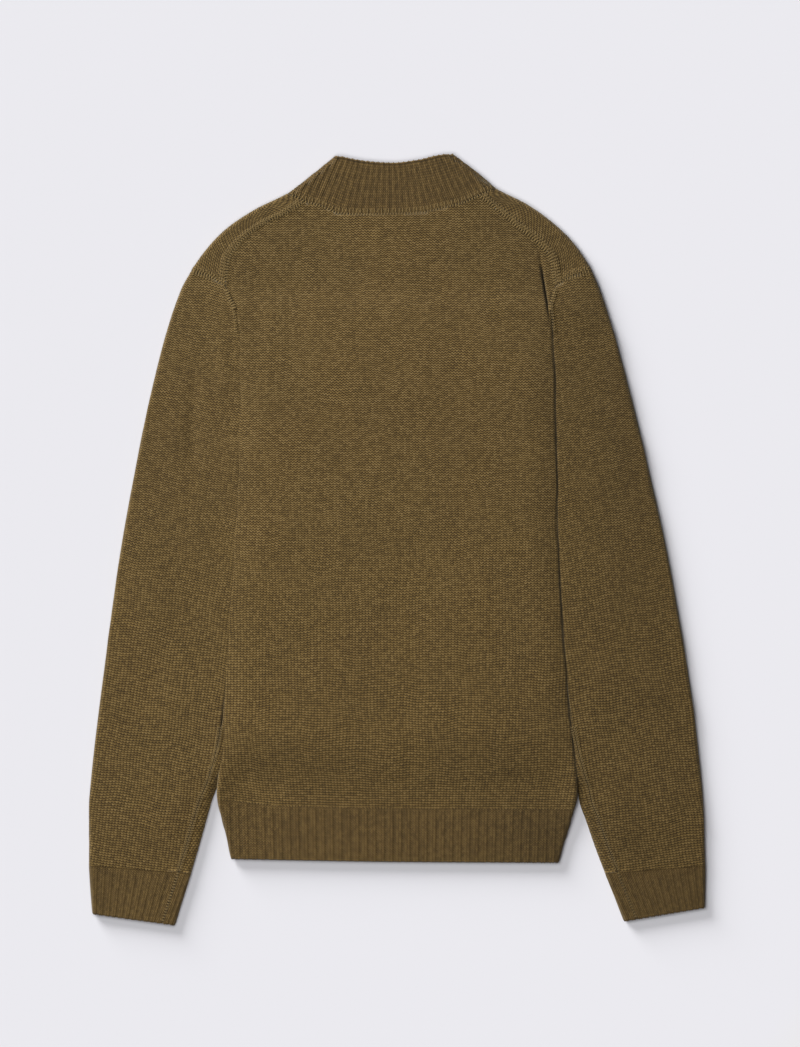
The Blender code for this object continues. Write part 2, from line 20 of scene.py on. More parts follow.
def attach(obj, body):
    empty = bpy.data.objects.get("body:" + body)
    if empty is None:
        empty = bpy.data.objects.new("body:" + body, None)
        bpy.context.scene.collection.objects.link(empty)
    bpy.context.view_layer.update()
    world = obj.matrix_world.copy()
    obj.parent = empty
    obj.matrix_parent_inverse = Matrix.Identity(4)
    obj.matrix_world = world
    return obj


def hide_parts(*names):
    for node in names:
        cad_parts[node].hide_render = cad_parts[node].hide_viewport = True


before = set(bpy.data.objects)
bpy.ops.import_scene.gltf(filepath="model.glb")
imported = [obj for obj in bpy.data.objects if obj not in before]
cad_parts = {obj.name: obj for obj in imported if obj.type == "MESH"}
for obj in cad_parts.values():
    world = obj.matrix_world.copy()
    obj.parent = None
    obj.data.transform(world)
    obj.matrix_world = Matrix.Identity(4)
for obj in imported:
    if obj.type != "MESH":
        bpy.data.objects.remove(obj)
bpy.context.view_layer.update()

MM = 0.001
TINY = 1.0e-6
SIDES = {"left": -1.0, "right": 1.0}
UP = np.array([0.0, 0.0, 1.0])
MIDDLE_Y = 1.19  # middle of the whole length, which goes to the origin


def table(kind, *rows):
    """Names the values in the rows of a table."""
    return tuple(kind(*row) for row in rows)


# Cloth
RIB_WALL = 2.6
SEAM_GAP = 0.3
SEAM_INSET = 0.15
FLAT_HEIGHT = 8.0  # two walls and the air between them
HALF_HEIGHT = FLAT_HEIGHT / 2.0
CUFF_HEIGHT = 7.6

# Edges of the pieces: steps outwards and down from a panel's edge
SEAM_EDGE = ((0.1, 0.5), (0.6, 1.5))
WELT_TURNS = (30.0, 60.0, 90.0, 120.0, 150.0, 180.0)  # degrees
WELT_INSIDE = 12.0
BAND_INSIDE = 2.0
COLLAR_INSIDE = 1.0
EDGE_LEAN = 0.5
# painted shade on the rows that turn down at an edge
EDGE_SHADE = 0.3
RUN_LENGTH = 2.0  # an edge's direction is taken over at least this length
EDGE_STEP = 0.05  # columns closer than this lie on the panel's edge

# Plain knit
WALE = 3.2
COURSE = 2.45
WALE_COLUMNS = 4
WALE_DEPTH = 0.45
SLACK_WALES = 0.1  # share of that depth in slack cloth
STRETCHED_WALES = 0.26  # and what stretched cloth adds
UNDER_WALES = 0.7
SHOULDER_WALES = 0.9
CUFF_END_WALES = 0.35  # strength of the wales where the sleeve meets its cuff
CUFF_END_RUN = 12.0
PANEL_ROW = 2.0 * COURSE

# Where the cloth is stretched along: from a height down to its foot, and a little more in the sleeves
STRETCH_TOP_Y = 170.0
STRETCH_RUN = 400.0
SLEEVE_STRETCH = 0.15
SLEEVE_STRETCH_OUT = (150.0, 20.0)

# 2x2 ribs: the width of a rib, how deep its grooves are and half the width of their floors as a share of it;
# how deep the grooves are at the seam, and the share of the length over which they reach their depth; shares
# of the length over which the bend of the rows comes and goes; how far the edge runs in at the grooves, and
# where it starts to
Rib = namedtuple("Rib", "pitch depth floor start start_run bend_in bend_out scallop scallop_start")
RIB_DEPTH = 0.4
HEM_RIB = Rib(8.62, RIB_DEPTH, 0.04, 0.2, 0.06, 0.06, 0.05, 0.7, 0.96)
FRONT_HEM_RIB = HEM_RIB._replace(start=0.1, start_run=0.09)
CUFF_RIB = Rib(7.9, 0.85 * RIB_DEPTH, 0.04, 0.1, 0.12, 0.06, 0.06, 0.6, 0.95)
COLLAR_RIB = Rib(7.3, 0.28, 0.2, 1.0, 1.0, 0.06, 0.06, 0.7, 0.95)
COLLAR_TOP_PITCH = 5.1
RIB_COLUMNS = 12
RIB_ROW = 0.5 * COURSE
GROOVE_SIDE = 0.2
SPLIT_DEPTH = 0.16  # the shallow line between the two wales of a rib
SPLIT_SIDE = 0.1
SCALLOP_RUN = 0.04
STITCH_RISE = 0.08  # height of the legs of the stitches in the ribs
STITCH_SLANT = 0.75  # courses by which a stitch is lower at its middle
UNDER_BEND = 0.5  # how much less the rows bend on the underside
HEM_GROOVE_X = -2.6
COLLAR_GROOVE_X = -6.3
HALF_COLLAR_RIBS = 45

# Body
BODY_REACH = 225.0  # columns of the back run out past its widest row
FINE_ROWS = (222.0, 290.0)  # heights between which each course is a row, for the fold at the armhole
BACK_TOP_Y = 346.0
NECK_ROWS_Y = 300.0  # rows above this are cut off by the neck seam
BAND_WIDTH = 16.0
BAND_COLUMNS = 24
BAND_ROWS = 240
BAND_WALE_START = 0.2
FRONT_REACH = 210.0
FRONT_HEM_REACH = 155.0
STEP_DOWN = 22.0  # width over which the underside comes down from the sleeve
FULL_ROLL = math.pi - 0.02
LEAST_TAIL = 0.2
UNDERARM_OUT = 144.0
UNDERARM_Y = 61.5
UNDERARM_BLEND = 20.0
UNDERARM_SEAM_INSET = 9.0
ARMHOLE_Y = 254.5
HEM_FADE_Y = -150.0
HEM_TOP_Y = -269.0
HEM_END_Y = -322.5
HEM_TAPER = 0.012
HEM_SQUEEZE = 0.035  # share by which the rib pulls the wales of the back together
SQUEEZE_Y = -222.0
FRONT_NECK_Y = 266.5
CURVE = np.linspace(0.0, 1.0, 60)

# Shoulders
SHOULDER_COLUMNS = np.linspace(0.004, 0.995, 230)
SHOULDER_UNDER = 3.0  # how far the shoulder's skin reaches under
SHOULDER_TURN_ROWS = 15
SHOULDER_FLAT_ROWS = 40
TURN_BLEND = 0.35
TANGENT_STEP = 0.05
BAND_RISE = 0.7  # height of the bands of fashioning beside a seam
BAND_UP = 1.5
BAND_DOWN = 3.0
BAND_REACH = 7.5
CAP_BAND = 0.8
CAP_BOW = 3.0  # how far the cap seams bow up from a straight line
CAP_BOW_REACH = 16.0

# Sleeves
SLEEVE_TILT = math.radians(8.0)  # the wales of a sleeve run outwards as they go down
SLEEVE_REACH = (130.0, 425.0)
NO_FOLD = -30.0  # stands for the body's fold at the cuffs, which it doesn't lie over
CAP_STEPS = 4  # the sleeve's width and its cap's height depend on each other

# Collar
COLLAR_WIDTH = 50.0
COLLAR_START = 0.012
COLLAR_TURN_ROWS = 20
COLLAR_BACK_COLUMNS = 120
COLLAR_END = 0.04
COLLAR_CORNER_INWARD = np.array([-1.0, -0.25])

# How the cloth swells over the air under it
CROWN = 2.6
CROWN_ROLL = 28.0
CROWN_BOTTOM = (-266.0, 75.0)
CROWN_TOP = (345.0, 200.0)
SLEEVE_CROWN = {"left": (3.6, -0.3), "right": (3.4, 0.8)}  # height beside the body, and how round it falls
CROWN_TO_CUFF = 60.0
CROWN_TO_CAP = 32.0
PRESSED_INSIDE = {"left": 8.4, "right": 5.0}
PRESSED_WIDTH = 7.0
FREE_WIDTH = 6.0
LET_DOWN_WIDTH = 40.0
# painted shade: the yarn beside the body's fold is painted dark where the fold casts its shadow on the sleeve
GAP_PAINTED_SHADE = {"left": 0.0, "right": 17.0}  # how dark the yarn is in the gap between body and sleeve
GAP_WIDTH = 1.1

# Outline from the collar's corner down to the cuff, seen from above
Rim = namedtuple("Rim", "place left_out left_y right_out right_y")
OUTLINE = table(
    Rim,
    ("collar corner", 61.5, 386.5, 55.5, 388.5),
    ("collar side", 87.3, 365.7, 86.5, 364.8),
    ("neck", 110.8, 348.0, 100.0, 353.0),
    ("shoulder", 143.2, 331.8, 131.0, 337.0),
    ("shoulder", 173.0, 311.5, 159.0, 316.5),
    ("shoulder", 192.0, 291.5, 179.0, 296.0),
    ("cap seam", 207.0, 270.0, 195.5, 270.0),
    ("upper arm", 217.0, 251.5, 203.5, 251.5),
    ("upper arm", 239.0, 181.5, 225.0, 181.5),
    ("upper arm", 261.0, 81.5, 250.0, 81.5),
    ("elbow", 282.0, -38.5, 276.0, -38.5),
    ("forearm", 298.0, -158.5, 296.0, -158.5),
    ("forearm", 308.0, -246.0, 306.0, -246.0),
    ("cuff top", 309.5, -326.0, 309.5, -326.0),
    ("cuff end", 306.0, -375.0, 309.0, -368.5),
)
NECK_RIM = 2
CAP_RIM = 6
CUFF_RIM = 13

# Side folds of the body: where the back turns under, how high the fold stands and how far round it is rolled
Fold = namedtuple("Fold", "y left right base height roll")
BODY_FOLDS = table(
    Fold,
    (254.5, 172.0, 159.0, 1.4, 6.6, 0.0),
    (247.5, 169.1, 156.8, 2.4, 6.6, 40.0),
    (240.5, 166.0, 154.6, 3.9, 6.6, 90.0),
    (233.5, 163.0, 153.4, 5.1, 6.6, 140.0),
    (223.5, 161.3, 154.5, 5.5, 6.6, 180.0),
    (204.0, 159.3, 156.4, 5.5, 6.6, 180.0),
    (170.0, 159.0, 157.8, 5.5, 6.6, 180.0),
    (100.0, 159.2, 159.2, 5.5, 6.6, 180.0),
    (-20.0, 165.1, 162.0, 5.5, 6.6, 180.0),
    (-158.0, 174.0, 171.4, 5.5, 6.6, 180.0),
    (-200.0, 175.3, 175.5, 5.5, 6.6, 180.0),
    (-236.0, 179.5, 180.5, 5.5, 6.6, 180.0),
    (-254.0, 181.0, 181.2, 4.4, 7.0, 180.0),
    (-279.0, 176.0, 175.0, 1.4, 7.6, 180.0),
    (-300.0, 171.0, 168.7, 0.2, 7.8, 180.0),
    (-323.0, 166.0, 162.0, 0.0, 7.8, 180.0),
)

# Side seams, on the underside
Seam = namedtuple("Seam", "y left right")
SIDE_SEAMS = table(
    Seam,
    (61.5, 144.0, 143.5),
    (0.0, 137.0, 136.0),
    (-158.0, 145.0, 143.0),
    (-254.0, 151.0, 151.0),
    (-323.0, 137.0, 133.0),
)

# Inner edges of the sleeves: the armhole, then the inner fold
Edge = namedtuple("Edge", "y left right height")
SLEEVE_EDGES = table(
    Edge,
    (254.5, 172.0, 159.0, 8.0),
    (247.5, 169.7, 157.4, 6.8),
    (240.5, 166.6, 155.2, 5.7),
    (233.5, 161.5, 151.7, 5.2),
    (223.5, 157.5, 150.0, 5.2),
    (206.5, 152.5, 148.0, 5.2),
    (171.5, 148.0, 146.0, 5.2),
    (121.5, 146.0, 145.0, 5.2),
    (61.5, 144.0, 143.5, 5.2),
    (41.5, 145.8, 145.0, 5.2),
    (-58.5, 153.0, 151.5, 5.2),
    (-158.5, 161.5, 160.0, 5.2),
    (-198.5, 167.0, 167.0, 5.2),
    (-238.5, 176.9, 176.9, 5.2),
    (-250.5, 181.6, 180.9, 5.2),
    (-262.0, 186.0, 182.8, 6.0),
    (-280.0, 191.0, 189.0, 7.0),
    (-312.0, 200.0, 200.0, 7.4),
    (-334.0, 206.5, 208.5, 7.6),
)
SEAM_SHOWS_FROM = 10  # the row of SLEEVE_EDGES beside which the threads of the underarm seam start
CUFF_ENDS = {"left": (223.2, -386.5), "right": (228.0, -382.5)}

# Shoulder seams, on the back
Place = namedtuple("Place", "left_out left_y right_out right_y")
SHOULDER_SEAM = table(
    Place,
    (93.0, 339.5, 83.0, 345.5),
    (110.0, 329.0, 91.0, 339.5),
    (136.0, 316.5, 121.0, 314.5),
    (159.0, 296.5, 143.0, 297.0),
    (169.5, 279.5, 155.0, 279.5),
    (172.0, 254.5, 159.0, 254.5),
)

# Seams and edges across the back: x is signed here, from the wearer's left to the right
Across = namedtuple("Across", "x y")
NECK_SEAM = table(
    Across, (-109.5, 347.5), (-93.0, 339.5), (-78.0, 335.5), (-57.0, 327.5), (-38.0, 326.5), (0.0, 327.0),
    (25.0, 328.5), (48.0, 333.5), (68.0, 338.5), (83.0, 345.5), (99.0, 352.5),
)
COLLAR_TOP = table(
    Across, (-61.0, 386.0), (-35.0, 381.5), (-5.0, 379.5), (23.0, 382.5), (41.0, 386.5), (55.5, 388.3),
)
HEM_TOP = table(Across, (-181.0, -259.5), (-120.0, -266.0), (0.0, -269.0), (181.0, -269.5))
HEM_END = table(Across, (-181.0, -319.5), (0.0, -322.5), (181.0, -323.5))

# Front neckline, on the underside, from the front edge to the shoulder
Neckline = namedtuple("Neckline", "along out y")
FRONT_NECK = table(
    Neckline, (0.0, 0.0, 0.0), (0.25, 0.34, 0.07), (0.5, 0.66, 0.29), (0.75, 0.88, 0.62), (1.0, 1.0, 1.0),
)

# Waves in which the rows and wales wander: lengths across and along, start, and moves across and along
Wave = namedtuple("Wave", "run_x run_y start across along")
SWAY = table(
    Wave,
    (61.0, 190.0, 0.3, 0.15, 0.55), (-97.0, 143.0, 2.1, 0.30, 0.60), (173.0, 88.0, 4.0, 0.45, 0.45),
    (39.0, -77.0, 1.2, 0.12, 0.35), (-211.0, -59.0, 5.2, 0.40, 0.30), (27.0, 310.0, 3.3, 0.06, 0.25),
)
SWAY_FADE = 10  # rows or columns

# Creases, laid one by one: soft ridges where rise is above 0 and troughs where it is below
Crease = namedtuple("Crease", "x1 y1 x2 y2 width rise")
CREASE_OVERRUN = 0.15  # share of its length by which a crease runs on past its ends
CREASE_FADE = 0.45
# painted shade: sharp creases darken the yarn, from these two
SHARP_CREASE = 1.5  # depth past which a crease is sharp, and shades the yarn
CREASE_SHADE = 9.0  # how much darker it is for each millimetre past that
BACK_CREASES = table(
    Crease,
    (142.6, 290.0, 147.0, 262.0, 2.2, -0.6),
    (144.0, 277.0, 152.9, 222.0, 1.1, -4.2),
    (-142.0, 271.0, -137.0, 141.0, 9.0, -0.9),
    (-20.0, 316.0, -19.0, 240.0, 5.0, 0.5),
    (-60.0, 290.0, -10.0, 289.0, 9.0, 0.4),
    (60.0, 235.0, 135.0, 233.0, 8.0, 0.5),
    (-25.0, 149.0, 29.0, 147.0, 9.0, 0.4),
    (55.0, 92.0, 122.0, 90.0, 9.0, 0.4),
    (-138.0, 12.0, -98.0, 10.0, 8.0, 0.5),
    (-98.0, -125.0, -65.0, -190.0, 16.0, 0.9),
    (-165.0, -232.0, -111.0, -252.0, 12.0, -1.3),
    (40.0, -30.0, 120.0, -180.0, 30.0, 0.9),
    (95.0, -240.0, 165.0, -248.0, 12.0, -0.9),
    (-30.0, -60.0, 10.0, -200.0, 28.0, -0.6),
)
SLEEVE_CREASES = {
    "left": table(
        Crease,
        (-203.0, 171.0, -206.0, 62.0, 7.0, -1.3),
        (-178.0, 212.0, -172.0, 142.0, 8.0, 0.9),
        (-222.0, 130.0, -215.0, 100.0, 9.0, 0.8),
        (-255.0, 20.0, -235.0, -120.0, 18.0, 0.8),
        (-215.0, -60.0, -262.0, -190.0, 16.0, -0.8),
        (-285.0, -250.0, -240.0, -300.0, 14.0, 0.7),
    ),
    "right": table(
        Crease,
        (168.0, 238.0, 200.0, 215.0, 11.0, 0.9),
        (169.0, 174.0, 216.0, 135.0, 9.0, -1.3),
        (190.0, 100.0, 228.0, 60.0, 14.0, 0.7),
        (185.0, -122.0, 270.0, -155.0, 13.0, 1.2),
        (200.0, -190.0, 280.0, -240.0, 16.0, -0.9),
        (184.0, -241.0, 192.0, -246.0, 3.0, -1.2),
    ),
}

# Painted light and shade: soft places painted lighter or darker, each with its middle, reach and amount
PaintedLightSpot = namedtuple("PaintedLightSpot", "x y reach_x reach_y amount")
PAINTED_LIGHT_SPOTS = table(
    PaintedLightSpot,
    (-235.0, 60.0, 75.0, 300.0, -0.13),
    (235.0, 60.0, 75.0, 300.0, -0.12),
    (0.0, 365.0, 130.0, 30.0, -0.04),
    (155.0, -305.0, 60.0, 40.0, -0.20),
    (100.0, 332.0, 50.0, 30.0, -0.06),
    (0.0, -300.0, 250.0, 35.0, -0.04),
    (130.0, -150.0, 80.0, 80.0, -0.02),
    (-150.0, 290.0, 60.0, 60.0, -0.08),
    (140.0, 290.0, 60.0, 60.0, -0.07),
    (140.0, 80.0, 45.0, 110.0, 0.05),
    (-305.0, -230.0, 26.0, 110.0, -0.08),
    # painted highlights along the inner edge of the left sleeve
    (-186.0, -262.0, 12.0, 34.0, 0.18),
    (-198.0, -315.0, 12.0, 34.0, 0.22),
)

# Yarn: its colours from the hollows between its stitches to their tops, and how a stitch's height
# becomes its shade: the yarn's own colour with painted shade in the hollows and painted light on the tops
Yarn = namedtuple("Yarn", "name colours gain drop")
PLAIN_SHADED_TO_LIT = ((0.0085, 0.0030, 0.0001, 1.0), (0.1400, 0.0872, 0.0238, 1.0), (0.302, 0.214, 0.100, 1.0))
RIB_SHADED_TO_LIT = ((0.0110, 0.0062, 0.0010, 1.0), (0.0860, 0.0500, 0.0132, 1.0), (0.172, 0.111, 0.0360, 1.0))
PLAIN_YARN = Yarn("stockinette_yarn", PLAIN_SHADED_TO_LIT, 1.23, 0.125)
HEM_YARN = Yarn("hem_rib_yarn", RIB_SHADED_TO_LIT, 1.2, 0.255)
CUFF_YARN = Yarn("cuff_rib_yarn", RIB_SHADED_TO_LIT, 1.15, 0.24)
COLLAR_YARN = Yarn("collar_rib_yarn", RIB_SHADED_TO_LIT, 1.15, 0.24)
MIDDLE_COLOUR_AT = 0.45
THREAD_DEEP = (0.070, 0.0450, 0.0150, 1.0)
THREAD_LIT = (0.195, 0.130, 0.0460, 1.0)
SHEEN = (1.0, 0.86, 0.6, 1.0)
STITCH_SLOPE = 0.65  # courses by which a stitch's leg climbs from the middle of its wale to its edge
STITCH_SLOPE_LOSS = 0.3  # how much less it climbs where the cloth is stretched
# painted shade: how much darker the yarn is painted for each unit of hollow
GROOVE_PAINTED_SHADE = 0.05
WANDER_CELL = 0.012  # sizes of the random patterns' cells, in metres
DRIFT_CELL = 0.022
FIBRE_CELL = 0.0009
FLECK_CELL = 0.0015
CLOUD_CELL = 0.06
THREAD_CLOUD_CELL = 0.004

# Threads of the seams that show, each a small round bead of yarn: bars cross a seam, and a chain is a column
# of knit stitches, each with two slanted legs. A seam's rows lie at offsets from it, at heights over the floor,
# or over the sleeve at its armhole and underarm
Bars = namedtuple("Bars", "pitch length width height")
Chain = namedtuple("Chain", "pitch spread size")
Row = namedtuple("Row", "offset height threads")
THREAD_SIDES = 6
THREAD_RINGS = 4
HANDFUL = 24
LEG_LENGTH = 2.3
LEG_WIDTH = 1.25
LEG_HEIGHT = 1.2
LEG_SLANT = math.radians(32.0)
BAND_TOP = FLAT_HEIGHT + BAND_RISE
PLAIN_CHAIN = Chain(2.9, 0.75, 1.0)
SHOULDER_CHAIN = Chain(3.1, 0.75, 1.0)
UNDERARM_CHAIN = Chain(COURSE, 0.6, 0.92)
COLLAR_ROWS = table(Row, (3.6, 7.85, Bars(3.55, 5.6, 1.3, 0.9)), (0.1, 7.9, Bars(2.9, 2.6, 2.0, 1.1)))
SHOULDER_ROWS = table(
    Row,
    (-0.1, FLAT_HEIGHT + 0.25, Bars(2.75, 4.6, 1.9, 1.2)),
    (2.9, BAND_TOP - 0.1, SHOULDER_CHAIN),
    (5.5, BAND_TOP - 0.1, SHOULDER_CHAIN),
)
CAP_ROWS = table(
    Row,
    (0.0, FLAT_HEIGHT + 0.25, Bars(2.75, 4.2, 1.9, 1.2)),
    (2.8, BAND_TOP - 0.15, PLAIN_CHAIN),
    (-2.7, FLAT_HEIGHT + 0.1, PLAIN_CHAIN),
)
ARMHOLE_CHAIN_ROW = {"left": Row(1.4, 0.2, PLAIN_CHAIN), "right": Row(1.4, 0.8, PLAIN_CHAIN)}
ARMHOLE_BARS_ROW = Row(0.0, 0.7, Bars(2.75, 4.2, 2.3, 1.5))
ARMHOLE_BARS_POINTS = 19
UNDERARM_ROWS = table(Row, (1.3, 0.2, UNDERARM_CHAIN), (-1.9, 0.2, UNDERARM_CHAIN))
CUFF_ROWS = table(Row, (0.0, CUFF_HEIGHT, Bars(2.9, 3.6, 1.4, 1.2)))

# Lines of those seams: the shares of a seam that the threads cover, or where they start and how far they run
SHOULDER_THREADS = np.linspace(0.02, 0.985, 200)
CAP_THREADS = np.linspace(0.06, 0.98, 60)
CUFF_THREADS = np.linspace(0.0, 0.97, 40)
COLLAR_THREADS_X = np.linspace(-106.0, 96.0, 240)
ARMHOLE_START = 3.0
ARMHOLE_RUN = 42.0
ARMHOLE_POINTS = 40
ARMHOLE_CROWN_RUN = 100.0
UNDERARM_THREADS_Y = -190.0
UNDERARM_POINTS = 120

# Making the meshes
MERGE = 2.0e-6
Cloth = namedtuple("Cloth", "piece slot width length area")

# Stage, in metres
FLOOR_LIGHTNESS = (0.612, 0.607, 0.637)
FLOOR_LIGHTEST = 0.95
FLOOR_DROP = 0.0002
FLOOR_SIZE = 12.0
CAMERA_PLACE = (0.0029, 0.0155, 2.4865)
CAMERA_LENS = 85.0
CAMERA_SENSOR = 36.0
Lamp = namedtuple("Lamp", "name place radius share")
LAMPS = table(
    Lamp, ("key_light", (-2.49, 2.85, 1.30), 1.00, 0.42), ("top_light", (-0.28, -0.05, 1.20), 0.40, 0.51),
)
DAYLIGHT = 4.26  # light that falls on the middle of the floor, in watts on a square metre
SKY_SHARE = 1.0 - sum(lamp.share for lamp in LAMPS)


# Reading the tables

def column(rows, name):
    return np.array([getattr(row, name) for row in rows], float)


def smooth_read(stations, values, at):
    """Reads a table between its rows, on a curve that never passes its neighbours."""
    x, y = np.asarray(stations, float), np.asarray(values, float)
    if x[0] > x[-1]:
        x, y = x[::-1], y[::-1]
    step = np.diff(x)
    slope = np.diff(y) / step
    bend = np.zeros(len(x))
    bend[0], bend[-1] = slope[0], slope[-1]
    for k in range(1, len(x) - 1):
        if slope[k - 1] * slope[k] > 0.0:
            before = 2.0 * step[k] + step[k - 1]
            after = step[k] + 2.0 * step[k - 1]
            bend[k] = (before + after) / (before / slope[k - 1] + after / slope[k])
    at = np.clip(np.asarray(at, float), x[0], x[-1])
    k = np.clip(np.searchsorted(x, at, side="right") - 1, 0, len(x) - 2)
    t = (at - x[k]) / step[k]
    rest = 1.0 - t
    return ((1.0 + 2.0 * t) * rest * rest * y[k] + t * rest * rest * step[k] * bend[k]
            + t * t * (3.0 - 2.0 * t) * y[k + 1] - t * t * rest * step[k] * bend[k + 1])


def ease(t):
    t = np.clip(t, 0.0, 1.0)
    return t * t * (3.0 - 2.0 * t)


def unit(v):
    return v / np.linalg.norm(v, axis=-1, keepdims=True)


def stack(*parts):
    return np.stack(np.broadcast_arrays(*parts), axis=-1)


def plan_line(rows, side, stations, at):
    """Reads a line of plan points at places along it, which may lie between two rows."""
    return stack(smooth_read(stations, column(rows, side + "_out"), at),
                 smooth_read(stations, column(rows, side + "_y"), at))


def rim_point(side, place):
    return plan_line(OUTLINE, side, range(len(OUTLINE)), place)


def shoulder_seam(side, along):
    return plan_line(SHOULDER_SEAM, side, np.linspace(0.0, 1.0, len(SHOULDER_SEAM)), along)


def rim_corner(side, row):
    return np.array([getattr(OUTLINE[row], side + "_out"), getattr(OUTLINE[row], side + "_y")])


def edge_corner(side, row):
    return np.array([getattr(SLEEVE_EDGES[row], side), SLEEVE_EDGES[row].y])


def across_y(rows, x):
    return smooth_read(column(rows, "x"), column(rows, "y"), x)


def fold_value(name, y):
    return smooth_read(column(BODY_FOLDS, "y"), column(BODY_FOLDS, name), y)


def sleeve_edge(side, y):
    return smooth_read(column(SLEEVE_EDGES, "y"), column(SLEEVE_EDGES, side), y)


def under_seam(side, y):
    """Seam under the body's side: the armhole above the underarm, the side seam below it."""
    below = smooth_read(column(SIDE_SEAMS, "y"), column(SIDE_SEAMS, side), y)
    return np.where(np.asarray(y) >= UNDERARM_Y, sleeve_edge(side, y), below)


def under_base(side, out, y):
    """Height of the body's underside, which comes down beside the tucked sleeve."""
    return fold_value("base", y) * (1.0 - ease((sleeve_edge(side, y) - out) / STEP_DOWN))


def neck_seam_y(x):
    """Seam between collar and back, with straight ends where the collar meets the fronts."""
    curve = across_y(NECK_SEAM, x)
    for first, last in (NECK_SEAM[:2], NECK_SEAM[-2:]):
        line = first.y + (x - first.x) / (last.x - first.x) * (last.y - first.y)
        curve = np.where((first.x <= x) & (x <= last.x), line, curve)
    return curve


def row_y(level, x):
    """Bends a level line near the hem, where the rib's top edge isn't straight."""
    share = ease((HEM_FADE_Y - level) / (HEM_FADE_Y - HEM_TOP_Y))
    return level + share * (across_y(HEM_TOP, x) - HEM_TOP_Y)


# A skin of cloth: where each point lies, which way it faces, its place on the flat piece, and how
# hollow it is, which also sets how much painted shade darkens the yarn there
Skin = namedtuple("Skin", "place facing flat hollow")


def make_skin(place, facing, flat):
    place = np.asarray(place, float)
    facing = np.broadcast_to(facing, place.shape)
    return Skin(place, unit(facing), np.asarray(flat, float), np.zeros(place.shape[:2]))


def upper(skin, gain=2.0, less=0.0):
    """1 where the cloth faces up, and 0 where it stands upright or faces down."""
    return ease(skin.facing[..., 2] * gain - less)


def sink(skin, depth, hollow=0.0):
    """Presses the skin in by depth."""
    place = skin.place - skin.facing * np.asarray(depth)[..., None]
    return skin._replace(place=place, hollow=np.maximum(skin.hollow, hollow))


def join_rows(*skins):
    return Skin(*(np.concatenate(parts, axis=0) for parts in zip(*skins)))


def turned(skin):
    """Swaps rows and columns."""
    return Skin(*(np.swapaxes(part, 0, 1) for part in skin))


def edge_run(skin):
    """Direction in which the skin runs out over its last row, in place and on the flat piece."""
    edge = skin.place[-1]
    away = np.linalg.norm(edge - skin.place, axis=-1)
    steady = np.where(away > RUN_LENGTH, np.arange(len(away))[:, None], -1).max(axis=0)
    before = np.maximum(steady, 0), np.arange(edge.shape[0])
    facing = skin.facing[-1]
    run = edge - skin.place[before]
    run = run - facing * (run * facing).sum(axis=-1, keepdims=True)
    flat_run = skin.flat[-1] - skin.flat[before]
    lengths = [np.linalg.norm(part, axis=-1, keepdims=True) for part in (run, flat_run)]
    return run / np.maximum(lengths[0], TINY), flat_run / np.maximum(lengths[1], TINY)


def finish_edge(skin, steps):
    """Carries the last row on along steps, each a move outwards and a move into the cloth."""
    outwards, flat_run = edge_run(skin)
    edge = Skin(*(part[-1:] for part in skin))
    rows = [skin]
    walked, last_out, last_into = 0.0, 0.0, 0.0
    for out, into in steps:
        walked += math.hypot(out - last_out, into - last_into)
        last_out, last_into = out, into
        rows.append(Skin(edge.place + outwards * out - edge.facing * into,
                         unit(edge.facing + outwards * EDGE_LEAN),
                         edge.flat + flat_run * walked, np.maximum(edge.hollow, EDGE_SHADE)))
    return join_rows(*rows)


def finish_first(skin, steps):
    flipped = Skin(*(part[::-1] for part in skin))
    return Skin(*(part[::-1] for part in finish_edge(flipped, steps)))


def finish_sides(skin, first=SEAM_EDGE, last=SEAM_EDGE):
    """Finishes the first and last columns."""
    return turned(finish_edge(finish_first(turned(skin), first), last))


def welt(inside=WELT_INSIDE):
    """Steps round the rounded edge of a rib's wall, and along its inside."""
    radius = RIB_WALL / 2.0
    angles = [math.radians(degrees) for degrees in WELT_TURNS]
    round_edge = [(radius * math.sin(angle), radius * (1.0 - math.cos(angle))) for angle in angles]
    return round_edge + [(-inside, RIB_WALL)]


# Relief of the knit

def wale_relief(flat_x):
    """Grooves between wales."""
    return 0.5 + 0.5 * np.cos(2.0 * np.pi * flat_x / WALE)


def rib_relief(rib, floor):
    """Hollow of a 2x2 rib, from 0 on the ridge to 1 in the groove, whose floor lies about whole numbers."""
    away = np.abs(rib - np.round(rib))
    groove = 1.0 - ease((away - floor) / GROOVE_SIDE)
    split = SPLIT_DEPTH * (1.0 - ease(np.abs(away - 0.5) / SPLIT_SIDE))
    return np.clip(groove + split, 0.0, 1.0)


def steps_inside(skin, way):
    """Columns between each point and the panel's edge, past which all columns lie on the edge."""
    step = np.linalg.norm(np.diff(skin.place, axis=1), axis=-1) > EDGE_STEP
    step = np.pad(step, ((0, 0), (1, 0)))[:, ::way]
    return np.cumsum(step, axis=1)[:, ::way]


def sway(skin):
    """Lets the rows and wales wander in the cloth, as they do in a soft knit, except at its edges."""
    x, y = skin.place[..., 0], skin.place[..., 1]
    across, along = 0.0, 0.0
    for wave in SWAY:
        turn = np.sin(2.0 * np.pi * (x / wave.run_x + y / wave.run_y) + wave.start)
        across = across + wave.across * turn
        along = along + wave.along * turn
    rows = np.arange(len(x))[:, None]
    level = upper(skin, 1.4, 0.2) * ease(np.minimum(rows, len(x) - 1 - rows) / SWAY_FADE)
    inner = ease(np.minimum(steps_inside(skin, 1), steps_inside(skin, -1)) / SWAY_FADE)
    skin.place[..., 0] += across * level * inner
    skin.place[..., 1] += along * level * inner
    return skin


def stretch(place):
    """How far the cloth is stretched along: its wales stand out low in the body and in the sleeves."""
    low = ease((STRETCH_TOP_Y - place[..., 1]) / STRETCH_RUN)
    start, run = SLEEVE_STRETCH_OUT
    return np.clip(low + SLEEVE_STRETCH * ease((np.abs(place[..., 0]) - start) / run), 0.0, 1.0)


